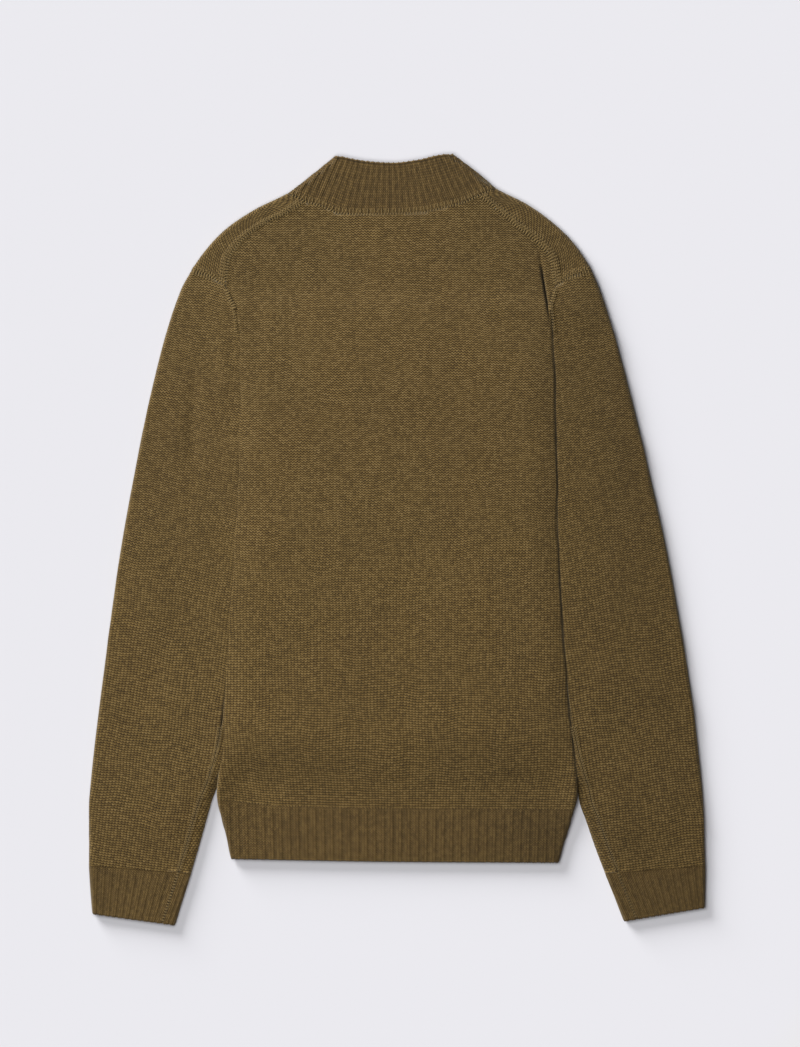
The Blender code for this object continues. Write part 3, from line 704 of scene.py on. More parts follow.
def knit_wales(skin, strength=1.0):
    depth = SLACK_WALES + STRETCHED_WALES * stretch(skin.place)
    hollow = wale_relief(skin.flat[..., 0]) * strength * depth
    return sink(skin, WALE_DEPTH * hollow, hollow)


def stitch_zigzag(flat_x, pitch):
    """Share of a course by which a row lies lower, at the middle of each knit wale of a rib."""
    wale = flat_x * 3.0 / pitch + 0.5
    return STITCH_SLANT * (1.0 - 2.0 * np.abs(wale - np.floor(wale) - 0.5))


def knit_ribs(skin, share, rib, bend=1.0, downwards=(0.0, 0.0, 0.0)):
    """Ribs from a seam on: every other row stands proud, and rows bend into the slants of the stitches."""
    zigzag = stitch_zigzag(skin.flat[..., 0], rib.pitch) * COURSE
    skin = skin._replace(place=skin.place + (zigzag * bend)[..., None] * np.asarray(downwards))
    strength = ease(share / rib.start_run + rib.start)
    hollow = rib_relief(skin.flat[..., 0] / rib.pitch, rib.floor) * strength
    rows = np.arange(len(hollow))[:, None]
    skin.flat[..., 1] = -rows * RIB_ROW + zigzag * (1.0 - bend)
    legs = np.where(rows % 2 == 0, 0.0, STITCH_RISE) * (1.0 - hollow) * strength
    return sink(skin, rib.depth * hollow + legs, hollow)


def knit_edge_ribs(skin, share, rib, downwards, under=1.0):
    """Ribs that end in an edge, which runs in at their grooves."""
    bend = ease(share / rib.bend_in) * ease((1.0 - share) / rib.bend_out) * under
    skin = knit_ribs(skin, share, rib, bend, downwards)
    scallop = rib.scallop * skin.hollow[-1:] * ease((share - rib.scallop_start) / SCALLOP_RUN)
    return skin._replace(place=skin.place - scallop[..., None] * np.asarray(downwards))


def lay_creases(skin, creases):
    """Raises or lowers the upper layer along each crease, most at the middle of its length."""
    x, y = skin.place[..., 0], skin.place[..., 1]
    rise = np.zeros(x.shape)
    for crease in creases:
        start = np.array([crease.x1, crease.y1])
        along = np.array([crease.x2, crease.y2]) - start
        length = np.linalg.norm(along)
        along = along / length
        t = ((x - start[0]) * along[0] + (y - start[1]) * along[1]) / length
        across = (x - start[0]) * along[1] - (y - start[1]) * along[0]
        ends = ease((t + CREASE_OVERRUN) / CREASE_FADE) * ease((1.0 + CREASE_OVERRUN - t) / CREASE_FADE)
        rise += crease.rise * ends * np.exp(-(across / crease.width) ** 2)
    # Painted shade on the yarn in the sharp creases
    shade = CREASE_SHADE * np.maximum(-rise - SHARP_CREASE, 0.0)
    return sink(skin, -rise * upper(skin, 1.5), shade)


# Painted light and shade: a factor on the yarn's colour, lighter or darker as more or less light falls
def painted_light_and_shade(place):
    painted_light_factor = np.ones(place.shape[:2])
    for spot in PAINTED_LIGHT_SPOTS:
        away_x = (place[..., 0] - spot.x) / spot.reach_x
        away_y = (place[..., 1] - spot.y) / spot.reach_y
        painted_light_factor += spot.amount * np.exp(-away_x ** 2 - away_y ** 2)
    return painted_light_factor


# Making the meshes

def make_object(name, bm):
    """Makes a smooth object of a bmesh, and frees the bmesh."""
    mesh = bpy.data.meshes.new(name)
    bm.to_mesh(mesh)
    bm.free()
    mesh.shade_smooth()
    piece = bpy.data.objects.new(name, mesh)
    bpy.context.collection.objects.link(piece)
    return piece


def panel_mesh(name, skin):
    """One grid of the skin's points, wound so that its faces look outwards."""
    columns_run = np.diff(skin.place, axis=1)[:-1]
    rows_run = np.diff(skin.place, axis=0)[:, :-1]
    if (np.cross(columns_run, rows_run) * skin.facing[:-1, :-1]).sum() < 0.0:
        skin = Skin(*(part[:, ::-1] for part in skin))
    rows, columns = skin.hollow.shape
    bm = bmesh.new()
    bmesh.ops.create_grid(bm, x_segments=columns - 1, y_segments=rows - 1, size=1.0)
    mesh = bpy.data.meshes.new(name)
    bm.to_mesh(mesh)
    bm.free()
    place = (skin.place - (0.0, MIDDLE_Y, 0.0)) * MM
    mesh.vertices.foreach_set("co", place.astype(np.float32).ravel())
    corners = np.empty(len(mesh.loops), np.int32)
    mesh.loops.foreach_get("vertex_index", corners)
    flat = (skin.flat * MM).reshape(-1, 2)[corners]
    mesh.uv_layers.new(name="UVMap").data.foreach_set("uv", flat.astype(np.float32).ravel())
    measures = {"hollow": skin.hollow, "painted_light_factor": painted_light_and_shade(skin.place), "stretch": stretch(skin.place)}
    for label, values in measures.items():
        attribute = mesh.attributes.new(label, "FLOAT", "POINT")
        attribute.data.foreach_set("value", np.ascontiguousarray(values, np.float32).ravel())
    return mesh


def flat_area(flat):
    """Area of the flat piece under a skin."""
    first = flat[1:, 1:] - flat[:-1, :-1]
    second = flat[1:, :-1] - flat[:-1, 1:]
    return np.abs(first[..., 0] * second[..., 1] - first[..., 1] * second[..., 0]).sum() / 2.0


def make_cloth(name, slot, *skins):
    """Makes one piece of cloth from its skins, with the measures of its cut."""
    bm = bmesh.new()
    for skin in skins:
        panel = panel_mesh(name, skin)
        bm.from_mesh(panel)
        bpy.data.meshes.remove(panel)
    bmesh.ops.remove_doubles(bm, verts=bm.verts, dist=MERGE)
    bmesh.ops.dissolve_degenerate(bm, dist=MERGE, edges=bm.edges)
    piece = make_object(name, bm)
    flats = np.concatenate([skin.flat.reshape(-1, 2) for skin in skins])
    width, length = flats.max(axis=0) - flats.min(axis=0)
    area = sum(flat_area(skin.flat) for skin in skins)
    return Cloth(piece, slot, width * MM, length * MM, area * MM * MM)


# Body

def body_shape(side, y):
    """Measures of the back's half section: end of the flat, radius and angle of the fold, tail and height."""
    above = y >= ARMHOLE_Y
    height = fold_value("height", y)
    roll = np.where(above, 0.0, np.radians(fold_value("roll", y)))
    radius = height / 2.0
    upright = np.minimum(roll, np.pi / 2.0)
    turn_out = fold_value(side, y) - radius * np.sin(upright) - SEAM_GAP * np.cos(upright)
    seam_out = smooth_read(column(SHOULDER_SEAM, side + "_y"), column(SHOULDER_SEAM, side + "_out"), y)
    turn_out = np.where(above, seam_out - SEAM_GAP, turn_out)
    tail = np.maximum(turn_out - under_seam(side, y) - SEAM_GAP / 2.0, LEAST_TAIL)
    tail = np.where(roll > FULL_ROLL, tail, 0.0)
    top = np.where(above, FLAT_HEIGHT, fold_value("base", y) + height)
    return turn_out, radius, roll, tail, top


def crown_share(y):
    return ease((y - CROWN_BOTTOM[0]) / CROWN_BOTTOM[1]) * ease((CROWN_TOP[0] - y) / CROWN_TOP[1])


def middle_height(y):
    """Height of the back's middle, which swells over the air in the garment."""
    fold_top = np.where(y >= ARMHOLE_Y, FLAT_HEIGHT, fold_value("base", y) + fold_value("height", y))
    return FLAT_HEIGHT + crown_share(y) * (fold_top + CROWN - FLAT_HEIGHT)


def body_point(side, y, length, middle):
    """Back's skin at lengths from the middle: distance out, height and lean of its face from upright."""
    turn_out, radius, roll, tail, top = body_shape(side, y)
    near = 1.0 - np.clip((turn_out - length) / CROWN_ROLL, 0.0, 1.0)
    flat_z = middle + (top - middle) * near * near
    lean = np.clip((length - turn_out) / radius, 0.0, roll)
    past = np.maximum(length - turn_out - radius * roll, 0.0)
    rolled_out = turn_out + radius * np.sin(lean) - past
    out = np.where(length <= turn_out, length, rolled_out)
    z = np.where(length <= turn_out, flat_z, top - radius * (1.0 - np.cos(lean)))
    z = np.where(past > 0.0, under_base(side, out, y), z)
    return out, z, lean


def body_full(side, y):
    """Length from the middle to the seam, less its inset."""
    turn_out, radius, roll, tail, top = body_shape(side, y)
    return turn_out + radius * roll + tail - SEAM_INSET


def squeeze(level):
    """The rib pulls the wales of the back together."""
    return 1.0 - HEM_SQUEEZE * ease((SQUEEZE_Y - level) / (SQUEEZE_Y - HEM_TOP_Y))


def body_skin(levels, flat_x, shape, scale, middle_x=0.0):
    """Back or its rib: shape gives y from the level and x; scale is a row's width for each flat width."""
    level = np.asarray(levels, float)[:, None]
    wanted = middle_x + (flat_x[None, :] - middle_x) * scale
    middle = middle_height(shape(level, 0.0))
    place, facing, flat = [], [], []
    for side, sign in SIDES.items():
        edge_y = shape(level, sign * fold_value(side, level))
        length = np.minimum(np.maximum(wanted * sign, 0.0), body_full(side, edge_y))
        out, z, lean = body_point(side, edge_y, length, middle)
        x = sign * out
        place.append(stack(x, shape(level, x), z))
        facing.append(stack(sign * np.sin(lean), 0.0, np.cos(lean)))
        flat.append(stack(middle_x + (sign * length - middle_x) / scale, level))
    left = (wanted < 0.0)[..., None]
    return make_skin(np.where(left, *place), np.where(left, *facing), np.where(left, *flat))


def wale_lines(first, last, pitch=WALE, columns=WALE_COLUMNS):
    """Even stations, a few for each wale, that cover a width."""
    step = pitch / columns
    return np.arange(math.floor(first / step), math.ceil(last / step) + 1) * step


def make_back():
    fine_from, fine_to = FINE_ROWS
    levels = np.concatenate([np.arange(HEM_TOP_Y, fine_from, PANEL_ROW),
                             np.arange(fine_from, fine_to, COURSE),
                             np.arange(fine_to, BACK_TOP_Y, PANEL_ROW), [BACK_TOP_Y]])
    skin = body_skin(levels, wale_lines(-BODY_REACH, BODY_REACH), row_y, squeeze(levels)[:, None])
    y = np.minimum(skin.place[..., 1], neck_seam_y(skin.place[..., 0]) - SEAM_GAP / 2.0 - SEAM_INSET)
    skin.place[..., 1] = y
    skin.flat[..., 1] = np.where(skin.flat[..., 1] > NECK_ROWS_Y, y, skin.flat[..., 1])
    skin = knit_wales(lay_creases(sway(skin), BACK_CREASES))
    return make_cloth("back_cloth", "stockinette", finish_sides(finish_edge(skin, SEAM_EDGE)))


def hem_share(level):
    """Share of the hem rib's depth above a level, which runs from the rib's top edge to the hem."""
    return (HEM_TOP_Y - level) / (HEM_TOP_Y - HEM_END_Y)


def rib_y(level, x):
    """Height of a hem rib's row."""
    top = across_y(HEM_TOP, x)
    return top + hem_share(level) * (across_y(HEM_END, x) - top)


def hem_levels():
    return np.linspace(HEM_TOP_Y, HEM_END_Y + RIB_WALL / 2.0, round((HEM_TOP_Y - HEM_END_Y) / RIB_ROW) + 1)


def make_hem_rib_back():
    levels = hem_levels()
    share = hem_share(levels)[:, None]
    columns = wale_lines(-BODY_REACH, BODY_REACH, HEM_RIB.pitch, RIB_COLUMNS) + HEM_GROOVE_X
    skin = body_skin(levels, columns, rib_y, 1.0 - HEM_TAPER * share, HEM_GROOVE_X)
    skin.flat[..., 0] -= HEM_GROOVE_X
    under = 1.0 - UNDER_BEND * ease(-skin.facing[..., 2])
    skin = knit_edge_ribs(skin, share, HEM_RIB, (0.0, -1.0, 0.0), under)
    return make_cloth("hem_rib_back_cloth", "rib", finish_edge(skin, welt()))


# Fronts, on the underside

def cap_ends(side):
    """Outer and inner ends of the seam between the front and the sleeve cap, seen from above."""
    return rim_corner(side, CAP_RIM), edge_corner(side, 0)


def inward(side, along):
    """Direction in which the cloth turns in from the outline, from the neck at 0 to the cap seam at 1."""
    outer, inner = cap_ends(side)
    at_cap = unit(inner - outer)
    at_neck = unit(shoulder_seam(side, 0.0) - rim_corner(side, NECK_RIM))
    along = np.asarray(along, float)
    place = NECK_RIM + along * (CAP_RIM - NECK_RIM)
    tangent = unit(rim_point(side, np.minimum(place + TANGENT_STEP, CAP_RIM))
                   - rim_point(side, np.maximum(place - TANGENT_STEP, NECK_RIM)))
    across = stack(tangent[..., 1], -tangent[..., 0])
    share = ease(np.minimum(along, 1.0 - along) / TURN_BLEND)[..., None]
    ends = np.where((along < 0.5)[..., None], at_neck, at_cap)
    return unit(share * across + (1.0 - share) * ends)


def shoulder_turn(side, along):
    """Line on which the front leaves the underside and turns over the shoulder."""
    return rim_point(side, NECK_RIM + along * (CAP_RIM - NECK_RIM)) + inward(side, along) * HALF_HEIGHT


def neckline(start, end):
    """Curve of the front neckline between two points."""
    stations = column(FRONT_NECK, "along")
    share = stack(smooth_read(stations, column(FRONT_NECK, "out"), CURVE),
                  smooth_read(stations, column(FRONT_NECK, "y"), CURVE))
    return np.asarray(start) + share * (np.asarray(end) - np.asarray(start))


def front_neck(side):
    return neckline((0.0, FRONT_NECK_Y), shoulder_turn(side, 0.0))


def front_limits(side, y):
    """Distance out of the front's inner and outer edges at heights y."""
    neck = front_neck(side)
    inner = np.maximum(np.interp(y, neck[:, 1], neck[:, 0]), BAND_WIDTH + SEAM_GAP / 2.0)
    outline = np.vstack([cap_ends(side)[1], shoulder_turn(side, CURVE)[::-1]])
    above = np.interp(y, outline[:, 1], outline[:, 0])
    outer = np.where(np.asarray(y) < ARMHOLE_Y, under_seam(side, y) - SEAM_GAP, above)
    return inner, np.maximum(outer, inner + 0.1)


def make_front(side):
    """Front with its part on the back: the underside, then the strip over the shoulder."""
    sign = SIDES[side]
    top = shoulder_turn(side, 0.0)[1]
    levels = np.append(np.arange(HEM_TOP_Y, top, PANEL_ROW), top)[:, None]
    inner, outer = front_limits(side, row_y(levels, sign * fold_value(side, levels)))
    out = np.clip(wale_lines(BAND_WIDTH, FRONT_REACH)[None, :], inner, outer)
    y = row_y(levels, sign * out)
    z = under_base(side, out, y) * ease((UNDERARM_Y - y) / UNDERARM_BLEND)
    lower = make_skin(stack(sign * out, y, z), -UP, stack(sign * out, levels))
    lower = finish_sides(knit_wales(lower, UNDER_WALES))
    return make_cloth("front_%s_cloth" % side, "stockinette", lower, shoulder_skin(side))


def seam_band(distance):
    """Raised band of a fully fashioned seam, at distances from the seam."""
    return ease(distance / BAND_UP) * ease((BAND_REACH - distance) / BAND_DOWN)


def cap_bow(side, place):
    """How far the cap seam bows up from a straight line, and the cloth beside it."""
    outer, inner = cap_ends(side)
    across = inner - outer
    plan = place[..., :2] * (SIDES[side], 1.0) - outer
    share = np.clip((plan @ across) / (across @ across), 0.0, 1.0)
    away = (plan[..., 0] * across[1] - plan[..., 1] * across[0]) / np.linalg.norm(across)
    return CAP_BOW * np.sin(np.pi * share) * np.exp(-(away / CAP_BOW_REACH) ** 2)


def shoulder_skin(side):
    """Part of the front that lies over the shoulder and shows on the back, with its two seam bands."""
    sign = SIDES[side]
    turn = shoulder_turn(side, SHOULDER_COLUMNS)
    inwards = inward(side, SHOULDER_COLUMNS)
    to_seam = shoulder_seam(side, SHOULDER_COLUMNS) - turn
    reach = np.linalg.norm(to_seam, axis=-1) - SEAM_INSET - SEAM_GAP / 2.0
    towards = unit(to_seam)
    arc = math.pi * HALF_HEIGHT
    # Each row: its plan points, height, lean and length from the turn
    rows = [(turn - inwards * length, 0.0, math.pi, length) for length in (-SHOULDER_UNDER, 0.0)]
    for lean in np.linspace(math.pi, 0.0, SHOULDER_TURN_ROWS)[1:]:
        height = HALF_HEIGHT + HALF_HEIGHT * math.cos(lean)
        plan = turn - inwards * HALF_HEIGHT * math.sin(lean)
        rows.append((plan, height, lean, (math.pi - lean) * HALF_HEIGHT))
    for share in np.linspace(0.0, 1.0, SHOULDER_FLAT_ROWS)[1:]:
        rows.append((turn + towards * (share * reach)[:, None], FLAT_HEIGHT, 0.0, arc + share * reach))
    place = np.stack([stack(sign * plan[:, 0], plan[:, 1], height) for plan, height, _, _ in rows])
    facing = np.stack([stack(-sign * inwards[:, 0] * math.sin(lean), -inwards[:, 1] * math.sin(lean),
                             math.cos(lean)) for _, _, lean, _ in rows])
    lengths = np.stack([np.broadcast_to(length, reach.shape) for _, _, _, length in rows])
    flat = (turn - inwards * lengths[..., None]) * (sign, 1.0)
    skin = knit_wales(make_skin(place, facing, flat), SHOULDER_WALES)
    outer, inner = cap_ends(side)
    across = inner - outer
    to_cap = np.abs((skin.place[..., :2] * (sign, 1.0) - outer) @ unit(np.array([-across[1], across[0]])))
    band = np.maximum(seam_band(np.maximum(arc + reach - lengths, 0.0)), CAP_BAND * seam_band(to_cap))
    skin = sink(skin, -BAND_RISE * band * upper(skin))
    skin.place[..., 1] += upper(skin) * cap_bow(side, skin.place)
    return finish_sides(finish_edge(skin, SEAM_EDGE))


def make_hem_rib_front(side):
    sign = SIDES[side]
    levels = hem_levels()[:, None]
    columns = wale_lines(BAND_WIDTH, FRONT_HEM_REACH, HEM_RIB.pitch, RIB_COLUMNS)[None, :]
    outer = under_seam(side, rib_y(levels, sign * fold_value(side, levels)))
    out = np.clip(columns, BAND_WIDTH + SEAM_GAP / 2.0, outer)
    y = rib_y(levels, sign * out)
    skin = make_skin(stack(sign * out, y, under_base(side, out, y)), -UP, stack(sign * out, levels))
    skin = knit_ribs(skin, hem_share(levels), FRONT_HEM_RIB)
    return make_cloth("hem_rib_front_%s_cloth" % side, "rib", finish_sides(finish_edge(skin, welt())))


def make_band(side):
    """Plain front band: a flat strip with a rounded inner edge and welted ends."""
    sign = SIDES[side]
    columns = np.linspace(RIB_WALL / 2.0 + SEAM_GAP / 2.0, BAND_WIDTH - SEAM_GAP, BAND_COLUMNS)[None, :]
    neck = front_neck(side)
    top = np.interp(columns, neck[:, 0], neck[:, 1]) + SEAM_GAP
    bottom = HEM_END_Y + RIB_WALL / 2.0
    levels = bottom + np.linspace(0.0, 1.0, BAND_ROWS)[:, None] * (top - bottom)
    place = stack(sign * columns, levels, 0.0)
    hollow = np.broadcast_to(wale_relief(columns - BAND_WALE_START), levels.shape)
    skin = sink(make_skin(place, -UP, place[..., :2]), WALE_DEPTH * hollow, hollow)
    skin = finish_edge(finish_first(skin, welt(BAND_INSIDE)), SEAM_EDGE)
    return make_cloth("band_%s_cloth" % side, "rib", finish_sides(skin, welt(BAND_INSIDE)))


# Sleeves, in their own plan: "wide" is outwards and "up" is along the wales

def to_sleeve(out, y):
    return (out * math.cos(SLEEVE_TILT) + y * math.sin(SLEEVE_TILT),
            -out * math.sin(SLEEVE_TILT) + y * math.cos(SLEEVE_TILT))


def from_sleeve(wide, up):
    return (wide * math.cos(SLEEVE_TILT) - up * math.sin(SLEEVE_TILT),
            wide * math.sin(SLEEVE_TILT) + up * math.cos(SLEEVE_TILT))


def sleeve_line(out, y, up):
    """Reads a line of plan points, given as out and y, at places up the sleeve."""
    wide, stations = to_sleeve(out, y)
    return smooth_read(stations, wide, up)


# Section of a sleeve or cuff: plan widths of its rim, its inner edge and the body's fold over it, its
# heights at the inner edge and at the rim, and how far it is closed at the inner edge
Ring = namedtuple("Ring", "rim inner fold low high closed")


def sleeve_ring(side, up):
    arm = OUTLINE[CAP_RIM:CUFF_RIM + 1]
    rim = sleeve_line(column(arm, side + "_out"), column(arm, side + "_y"), up)
    inner = sleeve_line(column(SLEEVE_EDGES, side), column(SLEEVE_EDGES, "y"), up)
    fold = sleeve_line(column(BODY_FOLDS, side), column(BODY_FOLDS, "y"), up)
    _, ups = to_sleeve(column(SLEEVE_EDGES, side), column(SLEEVE_EDGES, "y"))
    low = smooth_read(ups, column(SLEEVE_EDGES, "height"), up)
    _, underarm_up = to_sleeve(UNDERARM_OUT, UNDERARM_Y)
    closed = ease((underarm_up - up) / UNDERARM_BLEND)
    return Ring(rim, inner, np.maximum(fold, inner), low, FLAT_HEIGHT, closed)


def ring_point(ring, length, crown=0.0, roundness=0.0, pressed=0.0):
    """Point of a flattened tube at flat widths: plan width, height and lean.

    Flat widths are plan widths on the top, run on round the rim and back along the underside, and at
    last round the inner fold to the seam on the top.
    """
    rim, inner, fold, low, high, closed = ring
    radius, small = high / 2.0, low / 2.0
    start = rim - radius
    end = inner + small * closed
    lean = np.clip((length - start) / radius, 0.0, math.pi)
    under = length - start - math.pi * radius
    back = under - (start - end)
    curl = np.clip(back / small, 0.0, math.pi * closed)
    strip = np.maximum(back - small * math.pi * closed, 0.0)

    def top_height(wide):
        to_rim = np.clip((start - wide) / np.maximum(start - fold, 1.0), 0.0, 1.0)
        free = closed * ease((inner + FREE_WIDTH - fold) / FREE_WIDTH)
        let_down = free * (1.0 - ease((wide - inner) / LET_DOWN_WIDTH))
        swell = crown * to_rim * (1.0 + roundness * (1.0 - to_rim)) * (1.0 - let_down)
        return low + (high + swell - low) * ease((wide - fold + pressed * (1.0 - free)) / PRESSED_WIDTH)

    wide = np.where(length <= start, length, start + radius * np.sin(lean))
    wide = np.where(under > 0.0, start - under, wide)
    wide = np.where(back > 0.0, end - small * np.sin(curl) + strip, wide)
    z = np.where(length <= start, top_height(length), radius + radius * np.cos(lean))
    z = np.where(back > 0.0, small * (1.0 - np.cos(curl)), z)
    z = np.where(strip > 0.0, top_height(end + strip), z)
    return wide, z, lean + curl


def sleeve_point(side, ring, length, up, top, bottom):
    """Point of the sleeve's skin, whose crown fades to its cap seam and to its cuff."""
    crown, roundness = SLEEVE_CROWN[side]
    crown = crown * ease((up - bottom) / CROWN_TO_CUFF) * ease((top - up) / CROWN_TO_CAP)
    return ring_point(ring, length, crown, roundness, PRESSED_INSIDE[side])


def ring_limits(ring):
    """First and last flat widths of the tube, at the two sides of its seam."""
    rim, inner, _, low, high, closed = ring
    radius, small = high / 2.0, low / 2.0
    start = rim - radius
    end = inner + small * closed
    first = end + (UNDERARM_SEAM_INSET + SEAM_GAP) * closed
    last = start + math.pi * radius + (start - end) + small * math.pi * closed + UNDERARM_SEAM_INSET * closed
    return first + SEAM_INSET, last - SEAM_INSET


def plan_width(rim, flat_x):
    """Flat widths mirrored in the outer fold, and the plan widths that they have on either layer."""
    start = rim - HALF_HEIGHT
    mirrored = 2.0 * start + math.pi * HALF_HEIGHT - flat_x
    return mirrored, np.where(flat_x <= start, flat_x, np.minimum(mirrored, start + HALF_HEIGHT))


def cap_up(side, flat_x):
    """Upper end of the sleeve at flat widths: the cap seam, the same on both layers."""
    (wide_1, up_1), (wide_2, up_2) = (to_sleeve(*end) for end in cap_ends(side))
    up = up_1
    for _ in range(CAP_STEPS):
        _, wide = plan_width(sleeve_ring(side, up).rim, flat_x)
        share = np.clip((wide - wide_2) / (wide_1 - wide_2), 0.0, 1.0)
        up = up_2 + share * (up_1 - up_2)
    return up - SEAM_INSET - SEAM_GAP / 2.0


def cuff_up(side, flat_x):
    """Lower end of the sleeve at flat widths, where its cuff starts."""
    wide_1, up_1 = to_sleeve(*rim_corner(side, CUFF_RIM))
    wide_2, up_2 = to_sleeve(*edge_corner(side, -1))
    mirrored, wide = plan_width(wide_1, flat_x)
    back = np.where(mirrored < wide_2, 2.0 * wide_2 - mirrored, wide)
    share = np.clip((back - wide_2) / (wide_1 - wide_2), 0.0, 1.0)
    return up_2 + share * (up_1 - up_2)


def make_sleeve(side):
    sign = SIDES[side]
    _, top = to_sleeve(*cap_ends(side)[0])
    _, bottom = to_sleeve(*rim_corner(side, CUFF_RIM))
    levels = np.append(np.arange(bottom, top, PANEL_ROW), top)[:, None]
    first, last = ring_limits(sleeve_ring(side, levels))
    flat_x = np.clip(wale_lines(*SLEEVE_REACH)[None, :], first, last)
    up = np.clip(levels, cuff_up(side, flat_x), cap_up(side, flat_x))
    ring = sleeve_ring(side, up)
    wide, z, lean = sleeve_point(side, ring, flat_x, up, top, bottom)
    out, y = from_sleeve(wide, up)
    face_out, face_y = from_sleeve(np.sin(lean), 0.0)
    facing = stack(sign * face_out, face_y, np.cos(lean))
    skin = make_skin(stack(sign * out, y, z), facing, stack(sign * flat_x, up))
    # Painted shade along the body's fold, where it shades the sleeve
    near_fold = np.exp(-((wide - ring.fold) / GAP_WIDTH) ** 2) * upper(skin)
    skin = skin._replace(hollow=GAP_PAINTED_SHADE[side] * near_fold * ease((ring.fold - ring.inner) / FREE_WIDTH))
    skin.place[..., 1] += upper(skin) * cap_bow(side, skin.place)
    skin = lay_creases(sway(skin), SLEEVE_CREASES[side])
    skin = knit_wales(skin, CUFF_END_WALES + (1.0 - CUFF_END_WALES) * ease((levels - bottom) / CUFF_END_RUN))
    return make_cloth("sleeve_%s_cloth" % side, "stockinette", finish_sides(finish_edge(skin, SEAM_EDGE)))


def make_cuff(side):
    sign = SIDES[side]
    inner = np.array([edge_corner(side, -1), CUFF_ENDS[side]])
    outer = np.array([rim_corner(side, CUFF_RIM), rim_corner(side, CUFF_RIM + 1)])
    length = np.linalg.norm(inner[1] - inner[0])
    share = np.linspace(0.0, 1.0 - RIB_WALL / 2.0 / length, round(length / RIB_ROW) + 1)[:, None]
    inner = inner[0] + share[..., None] * (inner[1] - inner[0])
    outer = outer[0] + share[..., None] * (outer[1] - outer[0])
    width = np.linalg.norm(outer - inner, axis=-1)
    outwards = unit(outer - inner)
    ring = Ring(width, 0.0 * width, NO_FOLD, CUFF_HEIGHT, CUFF_HEIGHT, 1.0)
    first, last = ring_limits(ring)
    ribs = round(float(last[0, 0] - first[0, 0]) / CUFF_RIB.pitch)
    stations = np.linspace(0.0, 1.0, ribs * RIB_COLUMNS + 1)[None, :]
    wide, z, lean = ring_point(ring, first + stations * (last - first))
    plan = inner + outwards * wide[..., None]
    face = outwards * np.sin(lean)[..., None]
    skin = make_skin(stack(sign * plan[..., 0], plan[..., 1], z),
                     stack(sign * face[..., 0], face[..., 1], np.cos(lean)),
                     stack(stations * ribs * CUFF_RIB.pitch, -share * length))
    down = (sign * math.sin(SLEEVE_TILT), -math.cos(SLEEVE_TILT), 0.0)
    skin = knit_edge_ribs(skin, share, CUFF_RIB, down)
    return make_cloth("cuff_%s_cloth" % side, "rib", finish_sides(finish_edge(skin, welt())))


# Collar

def collar_half(side, share):
    """Half of a collar's row, from the front edge round the outer fold: plan points, height and facing."""
    rim = rim_point(side, NECK_RIM * (1.0 - share))
    inwards = unit(inward(side, 0.0) * (1.0 - share) + unit(COLLAR_CORNER_INWARD) * share)
    turn = rim + inwards * HALF_HEIGHT
    front = neckline((SEAM_GAP / 2.0, FRONT_NECK_Y + SEAM_GAP + share * COLLAR_WIDTH), turn)
    lean = np.linspace(math.pi, 0.0, COLLAR_TURN_ROWS)[1:, None]
    fold = np.hstack([turn - inwards * HALF_HEIGHT * np.sin(lean), HALF_HEIGHT + HALF_HEIGHT * np.cos(lean),
                      -inwards * np.sin(lean), np.cos(lean)])
    half = np.concatenate([stack(front[:, 0], front[:, 1], 0.0, 0.0, 0.0, -1.0), fold])
    half[:, [0, 3]] *= SIDES[side]
    return half


def collar_row(share):
    """Dense row of the collar at a share of its width, from front edge to front edge."""
    left, right = (collar_half(side, share) for side in SIDES)
    t = np.linspace(0.0, 1.0, COLLAR_BACK_COLUMNS)[1:-1]
    x = left[-1, 0] + t * (right[-1, 0] - left[-1, 0])
    base_y = neck_seam_y(NECK_SEAM[0].x + t * (NECK_SEAM[-1].x - NECK_SEAM[0].x))
    top_y = across_y(COLLAR_TOP, COLLAR_TOP[0].x + t * (COLLAR_TOP[-1].x - COLLAR_TOP[0].x))
    y = base_y + share * (top_y - base_y)
    inside = ease(np.minimum(t, 1.0 - t) / COLLAR_END)
    nearest = np.where(t < 0.5, left[-1, 1], right[-1, 1])
    y = y * inside + (1.0 - inside) * nearest
    return np.concatenate([left, stack(x, y, FLAT_HEIGHT, 0.0, 0.0, 1.0), right[::-1]])


def walked_along(line):
    """Distances of a line's points along it."""
    return np.append(0.0, np.cumsum(np.linalg.norm(np.diff(line[:, :3], axis=0), axis=1)))


def read_line(line, walked, at):
    """Reads a line of points at distances along it."""
    return np.stack([np.interp(at, walked, values) for values in line.T], axis=-1)


